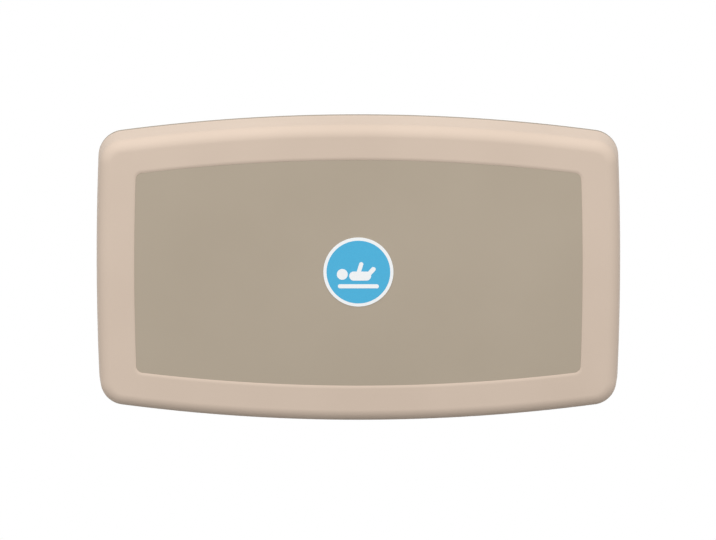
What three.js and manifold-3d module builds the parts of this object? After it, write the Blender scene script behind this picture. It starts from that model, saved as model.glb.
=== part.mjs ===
// A wall-mounted, fold-down baby changing station with a double-walled moulded bed, shown closed.
// Lengths are millimetres. Pieces are drawn with x to the right, y up and z out of the wall, from the middle
// of the back face, and the whole station is then turned so that +Z is up and the front looks along -Y.
import * as THREE from "three";
import { mergeVertices } from "three/addons/utils/BufferGeometryUtils.js";
import Module from "manifold-3d";

const wasm = await Module();
wasm.setup();

// Closed envelope: four bowed edges joined by corner arcs
const WIDTH = 914;
const HEIGHT = 530;
const DEPTH = 102;
const EDGE_BOW_RADIUS = 3120;
const SIDE_BOW_RADIUS = 4800;
const CORNER_RADIUS = 46;

// Clearances
const SEAT = 0.3;
const RUNNING_FIT = 0.45;
const HOLE_FIT = 0.4;
const PARTING_GAP = 2;
const OVERCUT = 1;
const JOIN_OVERLAP = 1;

// Wall chassis, a moulded back plate with a raised rim
const CHASSIS_WALL = 3.5;
const CHASSIS_RIM_DEPTH = 8;
const CHASSIS_RIM_WIDTH = 12;
const CHASSIS_RELIEF_RISE = 20;
const BLIND_WALL = 1.2;
const SCREW_BITE = 1.75;

// Outer shell of the bed, with its tapered sides, rounded front edge and panel recess
const SHELL_WALL = 3.5;
const SHELL_DRAFT = THREE.MathUtils.degToRad(3);
const FRONT_ROUND = 21;
const PANEL_SIDE_BORDER = 67.5;
const PANEL_TOP_BORDER = 64.3;
const PANEL_BOTTOM_BORDER = 67.7;
const PANEL_CORNER_RADIUS = 12;
const PANEL_RECESS = 4;
const PANEL_LIP = 4;
const PANEL_THICKNESS = 2.2;
const PANEL_EDGE = 1.1;
const PANEL_FIT = 0.5;
const LABEL_DIAMETER = 122;
const LABEL_RISE = 1.8;
const LABEL_THICKNESS = 0.9;

// Inner tray of the bed, the changing surface
const TRAY_WALL = 3.5;
const TRAY_FIT = 0.6;
const FLOOR_TO_FRONT = 28;
const TRAY_DEPTH = DEPTH - CHASSIS_RIM_DEPTH - PARTING_GAP - FLOOR_TO_FRONT;
const BASIN_SIDE_BORDER = 37;
const BASIN_TOP_BORDER = 40;
const BASIN_BOTTOM_BORDER = 70;
const BASIN_CORNER_RADIUS = 60;
const BASIN_WALL_RUN = 40;
const TRAY_STEP_HEIGHT = 27;
const TRAY_STEP_RISE = 60;
const TRAY_BACK_RISE = 8;

// Full-length hinge
const HINGE_RISE = 34;
const HINGE_LENGTH = 606;
const HINGE_PIN_RADIUS = 4;
const KNUCKLE_WALL = 2;
const KNUCKLE_GAP = 0.6;
const KNUCKLE_CLEARANCE = 1;
const CENTRE_KNUCKLE = 48;
const KNUCKLE_PITCH = 65;
const LEAF_THICKNESS = 3;
const WALL_LEAF_HEIGHT = 68;
const BED_LEAF_HEIGHT = 171;
const BED_LEAF_NOTCH = 90;
const BED_LEAF_NOTCH_RISE = 57;
const NOTCH_LAND = 2;
const NOTCH_END_PLAY = 1;

// Crank on the bed leaf and the gas spring that it works
const CRANK_RADIUS = 24;
const CRANK_PIN_RADIUS = 4;
const CRANK_LUG_THICKNESS = 5;
const CRANK_LUG_RADIUS = 8;
const CRANK_ARM_WIDTH = 12;
const CRANK_PIN_OVERHANG = 2;
const LUG_PLAY = 1;
const EYE_WIDTH = 10;
const EYE_WALL = 4.5;
const EYE_SLOT_PLAY = 1;
const ROD_RADIUS = 4;
const CYLINDER_RADIUS = 10;
const CYLINDER_LENGTH = 150;
const CYLINDER_WALL = 2.5;
const CYLINDER_RISE = 50;
const ROD_ENGAGEMENT = 32;
const PISTON_LENGTH = 8;
const CLAMP_HEIGHT = 14;
const CLAMP_WALL = 4;
const CLAMP_BAND = 2;
const CLAMP_OFFSET = 42;
const COVER_HALF_WIDTH = 40;
const COVER_HEIGHT = 146;
const COVER_WALL = 2.2;
const COVER_CLEARANCE = 2;
const EAR_SIZE = 18;
const EAR_THICKNESS = 2.5;

// Steel mounting rails on wall studs
const STUD_SPACING = 406.4;
const RAIL_WIDTH = 50;
const RAIL_BORDERS = 93;
const RAIL_HEIGHT = HEIGHT - RAIL_BORDERS;
const RAIL_THICKNESS = 3;
const WALL_BOLT_DIAMETER = 10;
const WALL_BOLT_TOP_BORDER = 80;
const WALL_BOLT_BOTTOM_BORDER = 130;
const WALL_BOLT_TOP = HEIGHT / 2 - WALL_BOLT_TOP_BORDER;
const WALL_BOLT_BOTTOM = WALL_BOLT_BOTTOM_BORDER - HEIGHT / 2;

// Liner pockets and their paper liners
const POCKET_END_DISTANCE = 112;
const POCKET_COVER_GAP = 35;
const POCKET_TOP_BORDER = 140;
const POCKET_FRONT_GAP = 61;
const POCKET_WIDTH = WIDTH / 2 - POCKET_END_DISTANCE - COVER_HALF_WIDTH - POCKET_COVER_GAP;
const POCKET_HEIGHT = 220;
const POCKET_DEPTH = DEPTH - POCKET_FRONT_GAP;
const POCKET_WALL = 2.5;
const POCKET_CENTRE_X = WIDTH / 2 - POCKET_END_DISTANCE - POCKET_WIDTH / 2;
const POCKET_BOTTOM_Y = HEIGHT / 2 - POCKET_TOP_BORDER - POCKET_HEIGHT;
const POCKET_WINDOW_BORDER = 50;
const POCKET_WINDOW_WIDTH = POCKET_WIDTH - 2 * POCKET_WINDOW_BORDER;
const POCKET_WINDOW_HEIGHT = 60;
const POCKET_WINDOW_RISE = 55;
const POCKET_SCREW_RISE = 170;
const LINER_PLAY = 7.5;
const LINER_DROP = 27.5;
const LINER_HEADROOM = 12;
const LINER_WIDTH = POCKET_WIDTH - 2 * (POCKET_WALL + LINER_PLAY);
const LINER_HEIGHT = POCKET_HEIGHT - POCKET_WALL - LINER_DROP;
const LINER_STACK = POCKET_DEPTH - 2 * POCKET_WALL - LINER_HEADROOM;

// Bag hooks, closing bumpers and opening stops
const HOOK_END_DISTANCE = 72;
const HOOK_TOP_DISTANCE = 145;
const HOOK_X = WIDTH / 2 - HOOK_END_DISTANCE;
const HOOK_Y = HEIGHT / 2 - HOOK_TOP_DISTANCE;
const HOOK_WIDTH = 18;
const HOOK_HEIGHT = 60;
const HOOK_REACH = 36;
const HOOK_THICKNESS = 7;
const HOOK_LIP = 24;
const HOOK_SCREW_RISE = 15;
const BUMPER_END_DISTANCE = 127;
const BUMPER_X = WIDTH / 2 - BUMPER_END_DISTANCE;
const BUMPER_RADIUS = 7;
const STOP_END_DISTANCE = 153;
const STOP_X = HINGE_LENGTH / 2 - STOP_END_DISTANCE;
const STOP_RADIUS = 10;
const STOP_DROP = 14;

// Safety strap and cam buckle
const STRAP_WIDTH = 38;
const STRAP_THICKNESS = 1.6;
const STRAP_BEND = 4;
const STRAP_RAMP = 16;
const STRAP_SLOT_PLAY = 2;
const STRAP_BOTTOM_BORDER = 145;
const STRAP_TOP_BORDER = 100;
const STRAP_TAIL_RISE = 60;
const STRAP_BOTTOM_Y = STRAP_BOTTOM_BORDER - HEIGHT / 2;
const STRAP_TOP_Y = HEIGHT / 2 - STRAP_TOP_BORDER;
const STRAP_TAIL_Y = STRAP_BOTTOM_Y + STRAP_TAIL_RISE;
const ANCHOR_RADIUS = 3;
const ANCHOR_OVERHANG = 11;
const BUCKLE_DROP = 103;
const BUCKLE_Y = STRAP_TOP_Y - BUCKLE_DROP;
const BUCKLE_LENGTH = 40;
const BUCKLE_PLATE = 1.8;
const BUCKLE_CHEEK = 2.4;
const CHEEK_LENGTH = 26;
const CHEEK_PLAY = 0.9;
const BUCKLE_HEIGHT = 9;
const BUCKLE_PIN_RADIUS = 1.8;
const BUCKLE_PIN_OVERHANG = 1;
const LEVER_LENGTH = 34;
const LEVER_THICKNESS = 3;
const LEVER_CAM_RADIUS = 4.4;

// Fasteners
const SCREW_RADIUS = 2;
const SCREW_HEAD_RADIUS = 4.2;
const SCREW_HEAD_HEIGHT = 2;
const SCREW_LENGTH = 14;
const PILOT_EXTRA = 2;
const BOSS_RADIUS = 6;
const BOLT_RADIUS = 3;
const BOLT_HEAD_RADIUS = 6;
const BOLT_HEAD_HEIGHT = 3;
const BOLT_DOME = 2;
const HEX_SIDES = 6;
const BED_BOLT_BOTTOM_BORDER = 150;
const BED_BOLT_INNER_X = 90;
const BED_BOLT_END_DISTANCE = 63;
const BED_BOLT_Y = BED_BOLT_BOTTOM_BORDER - HEIGHT / 2;
const BED_BOLT_X = [BED_BOLT_INNER_X, HINGE_LENGTH / 2 - BED_BOLT_END_DISTANCE];
const LEAF_BOLT_RISE = 50;
const LEAF_BOLT_SPREAD = 28;
const RIM_SCREW_BORDER = 20;
const RIM_SCREW_LOW = 205;
const RIM_SCREW_HIGH = 155;
const RIM_SCREW_END_DISTANCE = 247;
const RIM_SCREW_SIDE_Y = [RIM_SCREW_LOW - HEIGHT / 2, HEIGHT / 2 - RIM_SCREW_HIGH];
const RIM_SCREW_TOP_X = WIDTH / 2 - RIM_SCREW_END_DISTANCE;

// Points on each arc of a bowed outline, and sides of round pieces
const EDGE_STEPS = 6;
const CORNER_STEPS = 7;
const SIDE_STEPS = 2;
const ROUND_STEPS = 5;
const ROUND_SIDES = 12;
const SCREW_SIDES = 8;
const LABEL_SIDES = 48;
const MERGE_DISTANCE = 1e-3;

// Places that follow from the sizes above
const rimZ = CHASSIS_RIM_DEPTH + PARTING_GAP;
const bottomY = -HEIGHT / 2;
const hingeY = bottomY + HINGE_RISE;
const hingeZ = rimZ + HINGE_RISE;
const knuckleRadius = HINGE_PIN_RADIUS + RUNNING_FIT + KNUCKLE_WALL;
const roundCentreZ = DEPTH - FRONT_ROUND;
const roundCentreInset = (roundCentreZ - rimZ) * Math.tan(SHELL_DRAFT) + FRONT_ROUND / Math.cos(SHELL_DRAFT);
const recessZ = DEPTH - PANEL_RECESS;
const floorZ = rimZ + TRAY_DEPTH;
const railZ = CHASSIS_WALL + SEAT;
const frontOfRailZ = railZ + RAIL_THICKNESS + SEAT;
const railX = STUD_SPACING / 2;
const crankPlay = CRANK_RADIUS * (1 - Math.SQRT1_2);
const gasZ = hingeZ - CRANK_RADIUS + crankPlay / 2;
const crankDrop = CRANK_RADIUS * Math.SQRT1_2;
const bedLeafZ = floorZ + TRAY_WALL + SEAT;
const wallLeafTopY = hingeY + knuckleRadius + WALL_LEAF_HEIGHT - LEAF_THICKNESS;

const material = (color, roughness, metalness = 0) =>
  new THREE.MeshStandardMaterial({ color, roughness, metalness });
const SHELL_PLASTIC = material("#d2bfae", 0.55);
const PANEL_PLASTIC = material("#b0a391", 0.6);
const CHASSIS_PLASTIC = material("#9e9282", 0.6);
const LABEL_FILM = material("#38aeda", 0.45);
const STEEL = material("#b5b6b6", 0.35, 1);
const BLACK_STEEL = material("#26272a", 0.45, 0.6);
const CHROME = material("#d6d8da", 0.15, 1);
const RUBBER = material("#2c2c2d", 0.85);
const WEBBING = material("#383b3f", 0.9);
const PAPER = material("#ebe9e4", 0.9);

// Turns a closed geometry into a solid for boolean work.
function solidOf(geometry) {
  const bare = geometry.index ? geometry.toNonIndexed() : geometry.clone();
  bare.deleteAttribute("normal");
  bare.deleteAttribute("uv");
  const merged = mergeVertices(bare, MERGE_DISTANCE);
  const vertProperties = merged.getAttribute("position").array;
  const triVerts = new Uint32Array(merged.getIndex().array);
  return new wasm.Manifold(new wasm.Mesh({ numProp: 3, vertProperties, triVerts }));
}

// Turns a solid back into a geometry.
function geometryOf(solid) {
  const { vertProperties, triVerts } = solid.getMesh();
  const geometry = new THREE.BufferGeometry();
  geometry.setAttribute("position", new THREE.BufferAttribute(vertProperties, 3));
  geometry.setIndex(new THREE.BufferAttribute(triVerts, 1));
  return geometry;
}

function join(first, ...others) {
  return geometryOf(others.reduce((solid, other) => solid.add(solidOf(other)), solidOf(first)));
}

function cut(body, ...tools) {
  return geometryOf(tools.reduce((solid, tool) => solid.subtract(solidOf(tool)), solidOf(body)));
}

function common(first, second) {
  return geometryOf(solidOf(first).intersect(solidOf(second)));
}

function box([x0, x1], [y0, y1], [z0, z1]) {
  const geometry = new THREE.BoxGeometry(x1 - x0, y1 - y0, z1 - z0);
  return geometry.translate((x0 + x1) / 2, (y0 + y1) / 2, (z0 + z1) / 2);
}

function rodAlongX(radius, [x0, x1], y, z, sides = ROUND_SIDES) {
  const geometry = new THREE.CylinderGeometry(radius, radius, x1 - x0, sides);
  return geometry.rotateZ(Math.PI / 2).translate((x0 + x1) / 2, y, z);
}

function rodAlongY(radius, x, [y0, y1], z, sides = ROUND_SIDES) {
  const geometry = new THREE.CylinderGeometry(radius, radius, y1 - y0, sides);
  return geometry.translate(x, (y0 + y1) / 2, z);
}

function rodAlongZ(radius, x, y, [z0, z1], sides = ROUND_SIDES) {
  const geometry = new THREE.CylinderGeometry(radius, radius, z1 - z0, sides);
  return geometry.rotateX(Math.PI / 2).translate(x, y, (z0 + z1) / 2);
}

function plate(points, [z0, z1]) {
  const shape = new THREE.Shape(points);
  return new THREE.ExtrudeGeometry(shape, { depth: z1 - z0, bevelEnabled: false }).translate(0, 0, z0);
}

// Extrudes an outline of [z, y] points along x.
function bar(points, [x0, x1]) {
  const shape = new THREE.Shape(points.map(([z, y]) => new THREE.Vector2(z, y)));
  const geometry = new THREE.ExtrudeGeometry(shape, { depth: x1 - x0, bevelEnabled: false });
  return geometry.rotateY(-Math.PI / 2).translate(x1, 0, 0);
}

// A band of even thickness along a path drawn in z and y, extruded along x.
function ribbon(path, thickness, [x0, x1]) {
  const line = path.getPoints(ROUND_STEPS);
  const side = (offset) => line.map((point, i) => {
    const before = line[Math.max(i - 1, 0)];
    const after = line[Math.min(i + 1, line.length - 1)];
    const along = after.clone().sub(before).normalize();
    return [point.x - along.y * offset, point.y + along.x * offset];
  });
  return bar([...side(thickness / 2), ...side(-thickness / 2).reverse()], [x0, x1]);
}

function arcPoints(centre, radius, from, to, steps) {
  return Array.from({ length: steps }, (_, i) => {
    const angle = from + ((to - from) * i) / steps;
    return new THREE.Vector2(centre.x + radius * Math.cos(angle), centre.y + radius * Math.sin(angle));
  });
}

// One quarter of a bowed outline, from the middle of the right side to the middle of the top edge. The corner
// arc's centre lies where the circles drawn inside both long arcs, one corner radius in, cross.
function bowedQuarter({ halfWidth, halfHeight, edgeRadius, sideRadius, cornerRadius }) {
  const side = new THREE.Vector2(halfWidth - sideRadius, 0);
  const edge = new THREE.Vector2(0, halfHeight - edgeRadius);
  const sideReach = sideRadius - cornerRadius;
  const edgeReach = edgeRadius - cornerRadius;
  const span = edge.clone().sub(side);
  const apart = span.length();
  const along = (sideReach ** 2 - edgeReach ** 2 + apart ** 2) / (2 * apart);
  const across = Math.sqrt(sideReach ** 2 - along ** 2);
  const direction = span.normalize();
  const corner = side.clone().addScaledVector(direction, along);
  corner.addScaledVector(new THREE.Vector2(-direction.y, direction.x), across);
  const sideAngle = corner.clone().sub(side).angle();
  const edgeAngle = corner.clone().sub(edge).angle();
  return [
    ...arcPoints(side, sideRadius, 0, sideAngle, SIDE_STEPS),
    ...arcPoints(corner, cornerRadius, sideAngle, edgeAngle, CORNER_STEPS),
    ...arcPoints(edge, edgeRadius, edgeAngle, Math.PI / 2, EDGE_STEPS),
    new THREE.Vector2(0, halfHeight),
  ];
}

// A whole bowed outline, moved in by inset all round and raised by rise.
function bowedOutline(form, inset = 0) {
  const quarter = bowedQuarter({
    halfWidth: form.halfWidth - inset,
    halfHeight: form.halfHeight - inset,
    edgeRadius: form.edgeRadius - inset,
    sideRadius: form.sideRadius - inset,
    cornerRadius: form.cornerRadius - inset,
  });
  const mirrored = (flipX, flipY) => quarter.map((p) => new THREE.Vector2(p.x * flipX, p.y * flipY));
  const points = [
    ...quarter,
    ...mirrored(-1, 1).reverse().slice(1),
    ...mirrored(-1, -1).slice(1),
    ...mirrored(1, -1).reverse().slice(1, -1),
  ];
  return points.map((p) => p.add(new THREE.Vector2(0, form.rise ?? 0)));
}

// A closed skin through rings of equal point counts, capped at the first and the last ring.
function loft(rings) {
  const count = rings[0].points.length;
  const positions = rings.flatMap(({ points, z }) => points.flatMap((p) => [p.x, p.y, z]));
  const index = [];
  for (let ring = 0; ring + 1 < rings.length; ring += 1) {
    for (let i = 0; i < count; i += 1) {
      const next = (i + 1) % count;
      const low = ring * count;
      const high = low + count;
      index.push(low + i, low + next, high + next, low + i, high + next, high + i);
    }
  }
  const last = (rings.length - 1) * count;
  THREE.ShapeUtils.triangulateShape(rings[0].points, []).forEach(([a, b, c]) => index.push(a, c, b));
  THREE.ShapeUtils.triangulateShape(rings.at(-1).points, []).forEach(([a, b, c]) => {
    index.push(last + a, last + b, last + c);
  });
  const geometry = new THREE.BufferGeometry();
  geometry.setAttribute("position", new THREE.Float32BufferAttribute(positions, 3));
  geometry.setIndex(index);
  return geometry;
}

const envelope = {
  halfWidth: WIDTH / 2,
  halfHeight: HEIGHT / 2,
  edgeRadius: EDGE_BOW_RADIUS,
  sideRadius: SIDE_BOW_RADIUS,
  cornerRadius: CORNER_RADIUS,
};
const panelForm = {
  halfWidth: WIDTH / 2 - PANEL_SIDE_BORDER,
  halfHeight: (HEIGHT - PANEL_TOP_BORDER - PANEL_BOTTOM_BORDER) / 2,
  rise: (PANEL_BOTTOM_BORDER - PANEL_TOP_BORDER) / 2,
  edgeRadius: EDGE_BOW_RADIUS,
  sideRadius: SIDE_BOW_RADIUS,
  cornerRadius: PANEL_CORNER_RADIUS,
};
const basinForm = {
  halfWidth: WIDTH / 2 - BASIN_SIDE_BORDER,
  halfHeight: (HEIGHT - BASIN_TOP_BORDER - BASIN_BOTTOM_BORDER) / 2,
  rise: (BASIN_BOTTOM_BORDER - BASIN_TOP_BORDER) / 2,
  edgeRadius: EDGE_BOW_RADIUS,
  sideRadius: SIDE_BOW_RADIUS,
  cornerRadius: BASIN_CORNER_RADIUS,
};

// How far the bowed edge has drawn in at a distance x from the middle.
const edgeDrop = (x) => EDGE_BOW_RADIUS - Math.sqrt(EDGE_BOW_RADIUS ** 2 - x ** 2);
// How far the tapered side of the shell has drawn in at height z above the wall.
const draftInset = (z) => (z - rimZ) * Math.tan(SHELL_DRAFT);

const root = new THREE.Group();
const station = new THREE.Group();
station.rotation.x = Math.PI / 2;
root.add(station);

function add(name, geometry, finish) {
  const drawn = geometry.index ? geometry.toNonIndexed() : geometry;
  drawn.computeVertexNormals();
  const mesh = new THREE.Mesh(drawn, finish);
  mesh.name = name;
  station.add(mesh);
  return mesh;
}

// A pan-head screw standing on its seat, with its head towards -z.
function panScrew(length) {
  const profile = [
    [0, -SCREW_HEAD_HEIGHT],
    [SCREW_HEAD_RADIUS - SCREW_HEAD_HEIGHT / 2, -SCREW_HEAD_HEIGHT],
    [SCREW_HEAD_RADIUS, 0],
    [SCREW_RADIUS, 0],
    [SCREW_RADIUS, length],
    [0, length],
  ];
  const points = profile.map(([r, h]) => new THREE.Vector2(r, h));
  return new THREE.LatheGeometry(points, SCREW_SIDES).rotateX(Math.PI / 2);
}

// A pan-head screw driven towards the wall, its head seated at seatZ on top of a piece.
function addWallScrew(name, x, y, seatZ, length = SCREW_LENGTH) {
  const geometry = panScrew(length).rotateX(Math.PI).translate(x, y, seatZ + SEAT);
  add(name, geometry, STEEL);
}

const screwHole = (x, y, [z0, z1]) => rodAlongZ(SCREW_RADIUS + HOLE_FIT, x, y, [z0, z1], SCREW_SIDES);
const boltHole = (x, y, [z0, z1]) => rodAlongZ(BOLT_RADIUS + HOLE_FIT, x, y, [z0, z1]);
const sides = [["left", -1], ["right", 1]];

// Screw places shared by a piece, its screws and what they screw into
const pocketScrewX = POCKET_WIDTH / 2 + EAR_SIZE / 2;
const pocketScrews = sides.flatMap(([, side]) => [-1, 1].map((end) => ({
  x: side * POCKET_CENTRE_X + end * pocketScrewX,
  y: POCKET_BOTTOM_Y + POCKET_SCREW_RISE,
})));
const coverBottomY = wallLeafTopY + COVER_CLEARANCE;
const coverMiddleY = coverBottomY + COVER_HEIGHT / 2;
const coverScrewX = COVER_HALF_WIDTH + EAR_SIZE / 2;
const hookScrewY = HOOK_Y + HOOK_SCREW_RISE;
const rimScrews = sides.flatMap(([, side]) => [
  ...RIM_SCREW_SIDE_Y.map((y) => ({ x: side * (WIDTH / 2 - RIM_SCREW_BORDER), y })),
  { x: side * RIM_SCREW_TOP_X, y: HEIGHT / 2 - edgeDrop(RIM_SCREW_TOP_X) - RIM_SCREW_BORDER },
]);
const leafBoltY = hingeY + LEAF_BOLT_RISE;
const leafBoltEnds = [-LEAF_BOLT_SPREAD / 2, LEAF_BOLT_SPREAD / 2];
const leafBolts = sides.flatMap(([, side]) => leafBoltEnds.map((end) => side * railX + end));
const bedBolts = sides.flatMap(([, side]) => BED_BOLT_X.map((x) => side * x));
const wallBoltHeights = [WALL_BOLT_TOP, WALL_BOLT_BOTTOM];
const wallBolts = sides.flatMap(([, side]) => wallBoltHeights.map((y) => [side * railX, y]));

// Wall chassis: back plate, rim, screw bosses, holes for the wall bolts and a relieved rim below the hinge
function buildChassis() {
  const rimInset = CHASSIS_RIM_WIDTH;
  const plain = loft([
    { points: bowedOutline(envelope), z: 0 },
    { points: bowedOutline(envelope), z: CHASSIS_RIM_DEPTH },
    { points: bowedOutline(envelope, rimInset), z: CHASSIS_RIM_DEPTH },
    { points: bowedOutline(envelope, rimInset), z: CHASSIS_WALL },
  ]);
  const reliefHalf = WIDTH / 2 - CORNER_RADIUS;
  const reliefTop = hingeY + CHASSIS_RELIEF_RISE;
  const relief = box([-reliefHalf, reliefHalf], [-HEIGHT, reliefTop], [CHASSIS_WALL, DEPTH]);
  const bosses = pocketScrews.map(({ x, y }) => {
    return rodAlongZ(BOSS_RADIUS, x, y, [CHASSIS_WALL - JOIN_OVERLAP, frontOfRailZ - SEAT]);
  });
  const boltSpan = [-OVERCUT, CHASSIS_WALL + OVERCUT];
  const boltHoles = wallBolts.map(([x, y]) => rodAlongZ(WALL_BOLT_DIAMETER / 2, x, y, boltSpan));
  const fixings = [
    ...pocketScrews,
    ...sides.map(([, side]) => ({ x: side * coverScrewX, y: coverMiddleY })),
    ...sides.map(([, side]) => ({ x: side * HOOK_X, y: hookScrewY })),
  ];
  const screwHoles = fixings.map(({ x, y }) => screwHole(x, y, [BLIND_WALL, DEPTH]));
  add("wall_chassis", cut(join(cut(plain, relief), ...bosses), ...boltHoles, ...screwHoles), CHASSIS_PLASTIC);
}

// Steel rails that spread the load over two wall studs
function buildRails() {
  const bottom = hingeY + knuckleRadius + SEAT;
  for (const [name, side] of sides) {
    const x = side * railX;
    const strip = box([x - RAIL_WIDTH / 2, x + RAIL_WIDTH / 2], [bottom, bottom + RAIL_HEIGHT],
      [railZ, railZ + RAIL_THICKNESS]);
    const through = [railZ - OVERCUT, railZ + RAIL_THICKNESS + OVERCUT];
    const wallHoles = wallBoltHeights.map((y) => rodAlongZ(WALL_BOLT_DIAMETER / 2, x, y, through));
    const leafHoles = leafBoltEnds.map((end) => boltHole(x + end, leafBoltY, through));
    add(`mounting_rail_${name}`, cut(strip, ...wallHoles, ...leafHoles), STEEL);
  }
}

// Lengths along the pin of each leaf's knuckles, as [from, to] pairs. The middle knuckle belongs to the bed,
// and the rest of each half alternates between the wall leaf and the bed leaf, ending on the wall leaf.
function knuckleSpans() {
  const half = HINGE_LENGTH / 2;
  const start = CENTRE_KNUCKLE / 2;
  const count = 2 * Math.round((half - start) / KNUCKLE_PITCH / 2 - 0.5) + 1;
  const pitch = (half - start) / count;
  const spans = { bed: [[-start, start]], wall: [] };
  for (let i = 0; i < count; i += 1) {
    const from = start + i * pitch + KNUCKLE_GAP;
    const to = start + (i + 1) * pitch;
    const leaf = i % 2 === 0 ? spans.wall : spans.bed;
    leaf.push([from, to], [-to, -from]);
  }
  return spans;
}

const spans = knuckleSpans();
const knuckle = (span) => rodAlongX(knuckleRadius, span, hingeY, hingeZ);
const pinBore = rodAlongX((HINGE_PIN_RADIUS + RUNNING_FIT) / Math.cos(Math.PI / ROUND_SIDES),
  [-HINGE_LENGTH, HINGE_LENGTH], hingeY, hingeZ);
const knuckleSweep = ([x0, x1]) => rodAlongX(knuckleRadius + KNUCKLE_CLEARANCE,
  [x0 - KNUCKLE_GAP, x1 + KNUCKLE_GAP], hingeY, hingeZ);

// The fixed hinge leaf: an angle bolted to the rails, with a gap in the middle for the gas spring's eye
function buildWallLeaf() {
  const ledgeTop = hingeY + knuckleRadius;
  const back = frontOfRailZ;
  const half = HINGE_LENGTH / 2;
  const angle = bar([
    [back, ledgeTop - LEAF_THICKNESS],
    [hingeZ, ledgeTop - LEAF_THICKNESS],
    [hingeZ, ledgeTop],
    [back + LEAF_THICKNESS, ledgeTop],
    [back + LEAF_THICKNESS, wallLeafTopY],
    [back, wallLeafTopY],
  ], [-half, half]);
  const eyeGap = box([-CENTRE_KNUCKLE / 2 - KNUCKLE_GAP, CENTRE_KNUCKLE / 2 + KNUCKLE_GAP],
    [hingeY, ledgeTop + OVERCUT], [back + LEAF_THICKNESS, hingeZ + knuckleRadius]);
  const bedGaps = spans.bed.map(knuckleSweep);
  const through = [back - OVERCUT, back + LEAF_THICKNESS + OVERCUT];
  const holes = leafBolts.map((x) => boltHole(x, leafBoltY, through));
  const leaf = join(cut(angle, eyeGap, ...bedGaps), ...spans.wall.map(knuckle));
  add("hinge_wall_leaf", cut(leaf, pinBore, ...holes), STEEL);
}

// The moving hinge leaf: an angle that runs below the pin and up behind the tray floor, with two crank lugs
function buildBedLeaf() {
  const ledgeBottom = hingeY - knuckleRadius;
  const front = bedLeafZ + LEAF_THICKNESS;
  const top = ledgeBottom + BED_LEAF_HEIGHT;
  const half = HINGE_LENGTH / 2;
  const angle = bar([
    [hingeZ, ledgeBottom],
    [front, ledgeBottom],
    [front, top],
    [bedLeafZ, top],
    [bedLeafZ, ledgeBottom + LEAF_THICKNESS],
    [hingeZ, ledgeBottom + LEAF_THICKNESS],
  ], [-half, half]);
  const through = [bedLeafZ - OVERCUT, front + OVERCUT];
  const strapNotch = box([-BED_LEAF_NOTCH / 2, BED_LEAF_NOTCH / 2],
    [ledgeBottom + BED_LEAF_NOTCH_RISE, top + OVERCUT], through);
  const wallGaps = spans.wall.map(knuckleSweep);
  const holes = bedBolts.map((x) => boltHole(x, BED_BOLT_Y, through));
  const lugInside = EYE_WIDTH / 2 + LUG_PLAY;
  const lugs = [-1, 1].map((end) => {
    const x0 = end > 0 ? lugInside : -lugInside - CRANK_LUG_THICKNESS;
    return crankLug([x0, x0 + CRANK_LUG_THICKNESS]);
  });
  const leaf = join(cut(angle, strapNotch, ...wallGaps), ...spans.bed.map(knuckle), ...lugs);
  const crankBore = rodAlongX(CRANK_PIN_RADIUS + HOLE_FIT, [-CENTRE_KNUCKLE, CENTRE_KNUCKLE],
    hingeY - crankDrop, hingeZ - crankDrop);
  add("hinge_bed_leaf", cut(leaf, pinBore, crankBore, ...holes), STEEL);
}

// A flat lug from the hinge axis to the crank pin, with round ends.
function crankLug(span) {
  const arm = new THREE.BoxGeometry(span[1] - span[0], CRANK_RADIUS, CRANK_ARM_WIDTH);
  arm.rotateX(Math.PI / 4).translate((span[0] + span[1]) / 2, hingeY - crankDrop / 2, hingeZ - crankDrop / 2);
  const hub = rodAlongX(knuckleRadius, span, hingeY, hingeZ);
  const end = rodAlongX(CRANK_LUG_RADIUS, span, hingeY - crankDrop, hingeZ - crankDrop);
  return join(arm, hub, end);
}

function buildHingePin() {
  const half = HINGE_LENGTH / 2;
  const head = rodAlongX(knuckleRadius, [-half - LEAF_THICKNESS - SEAT, -half - SEAT], hingeY, hingeZ);
  const shank = rodAlongX(HINGE_PIN_RADIUS, [-half - JOIN_OVERLAP, half + LEAF_THICKNESS], hingeY, hingeZ);
  add("hinge_pin", join(head, shank), STEEL);
  const cap = rodAlongX(knuckleRadius, [half + SEAT, half + 2 * LEAF_THICKNESS], hingeY, hingeZ);
  const socket = rodAlongX(HINGE_PIN_RADIUS + SEAT, [half, half + LEAF_THICKNESS + SEAT], hingeY, hingeZ);
  add("hinge_pin_cap", cut(cap, socket), BLACK_STEEL);
  const crankReach = EYE_WIDTH / 2 + LUG_PLAY + CRANK_LUG_THICKNESS + CRANK_PIN_OVERHANG;
  const crankSpan = [-crankReach, crankReach];
  const crankPin = rodAlongX(CRANK_PIN_RADIUS, crankSpan, hingeY - crankDrop, hingeZ - crankDrop);
  add("crank_pin", crankPin, STEEL);
}

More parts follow.
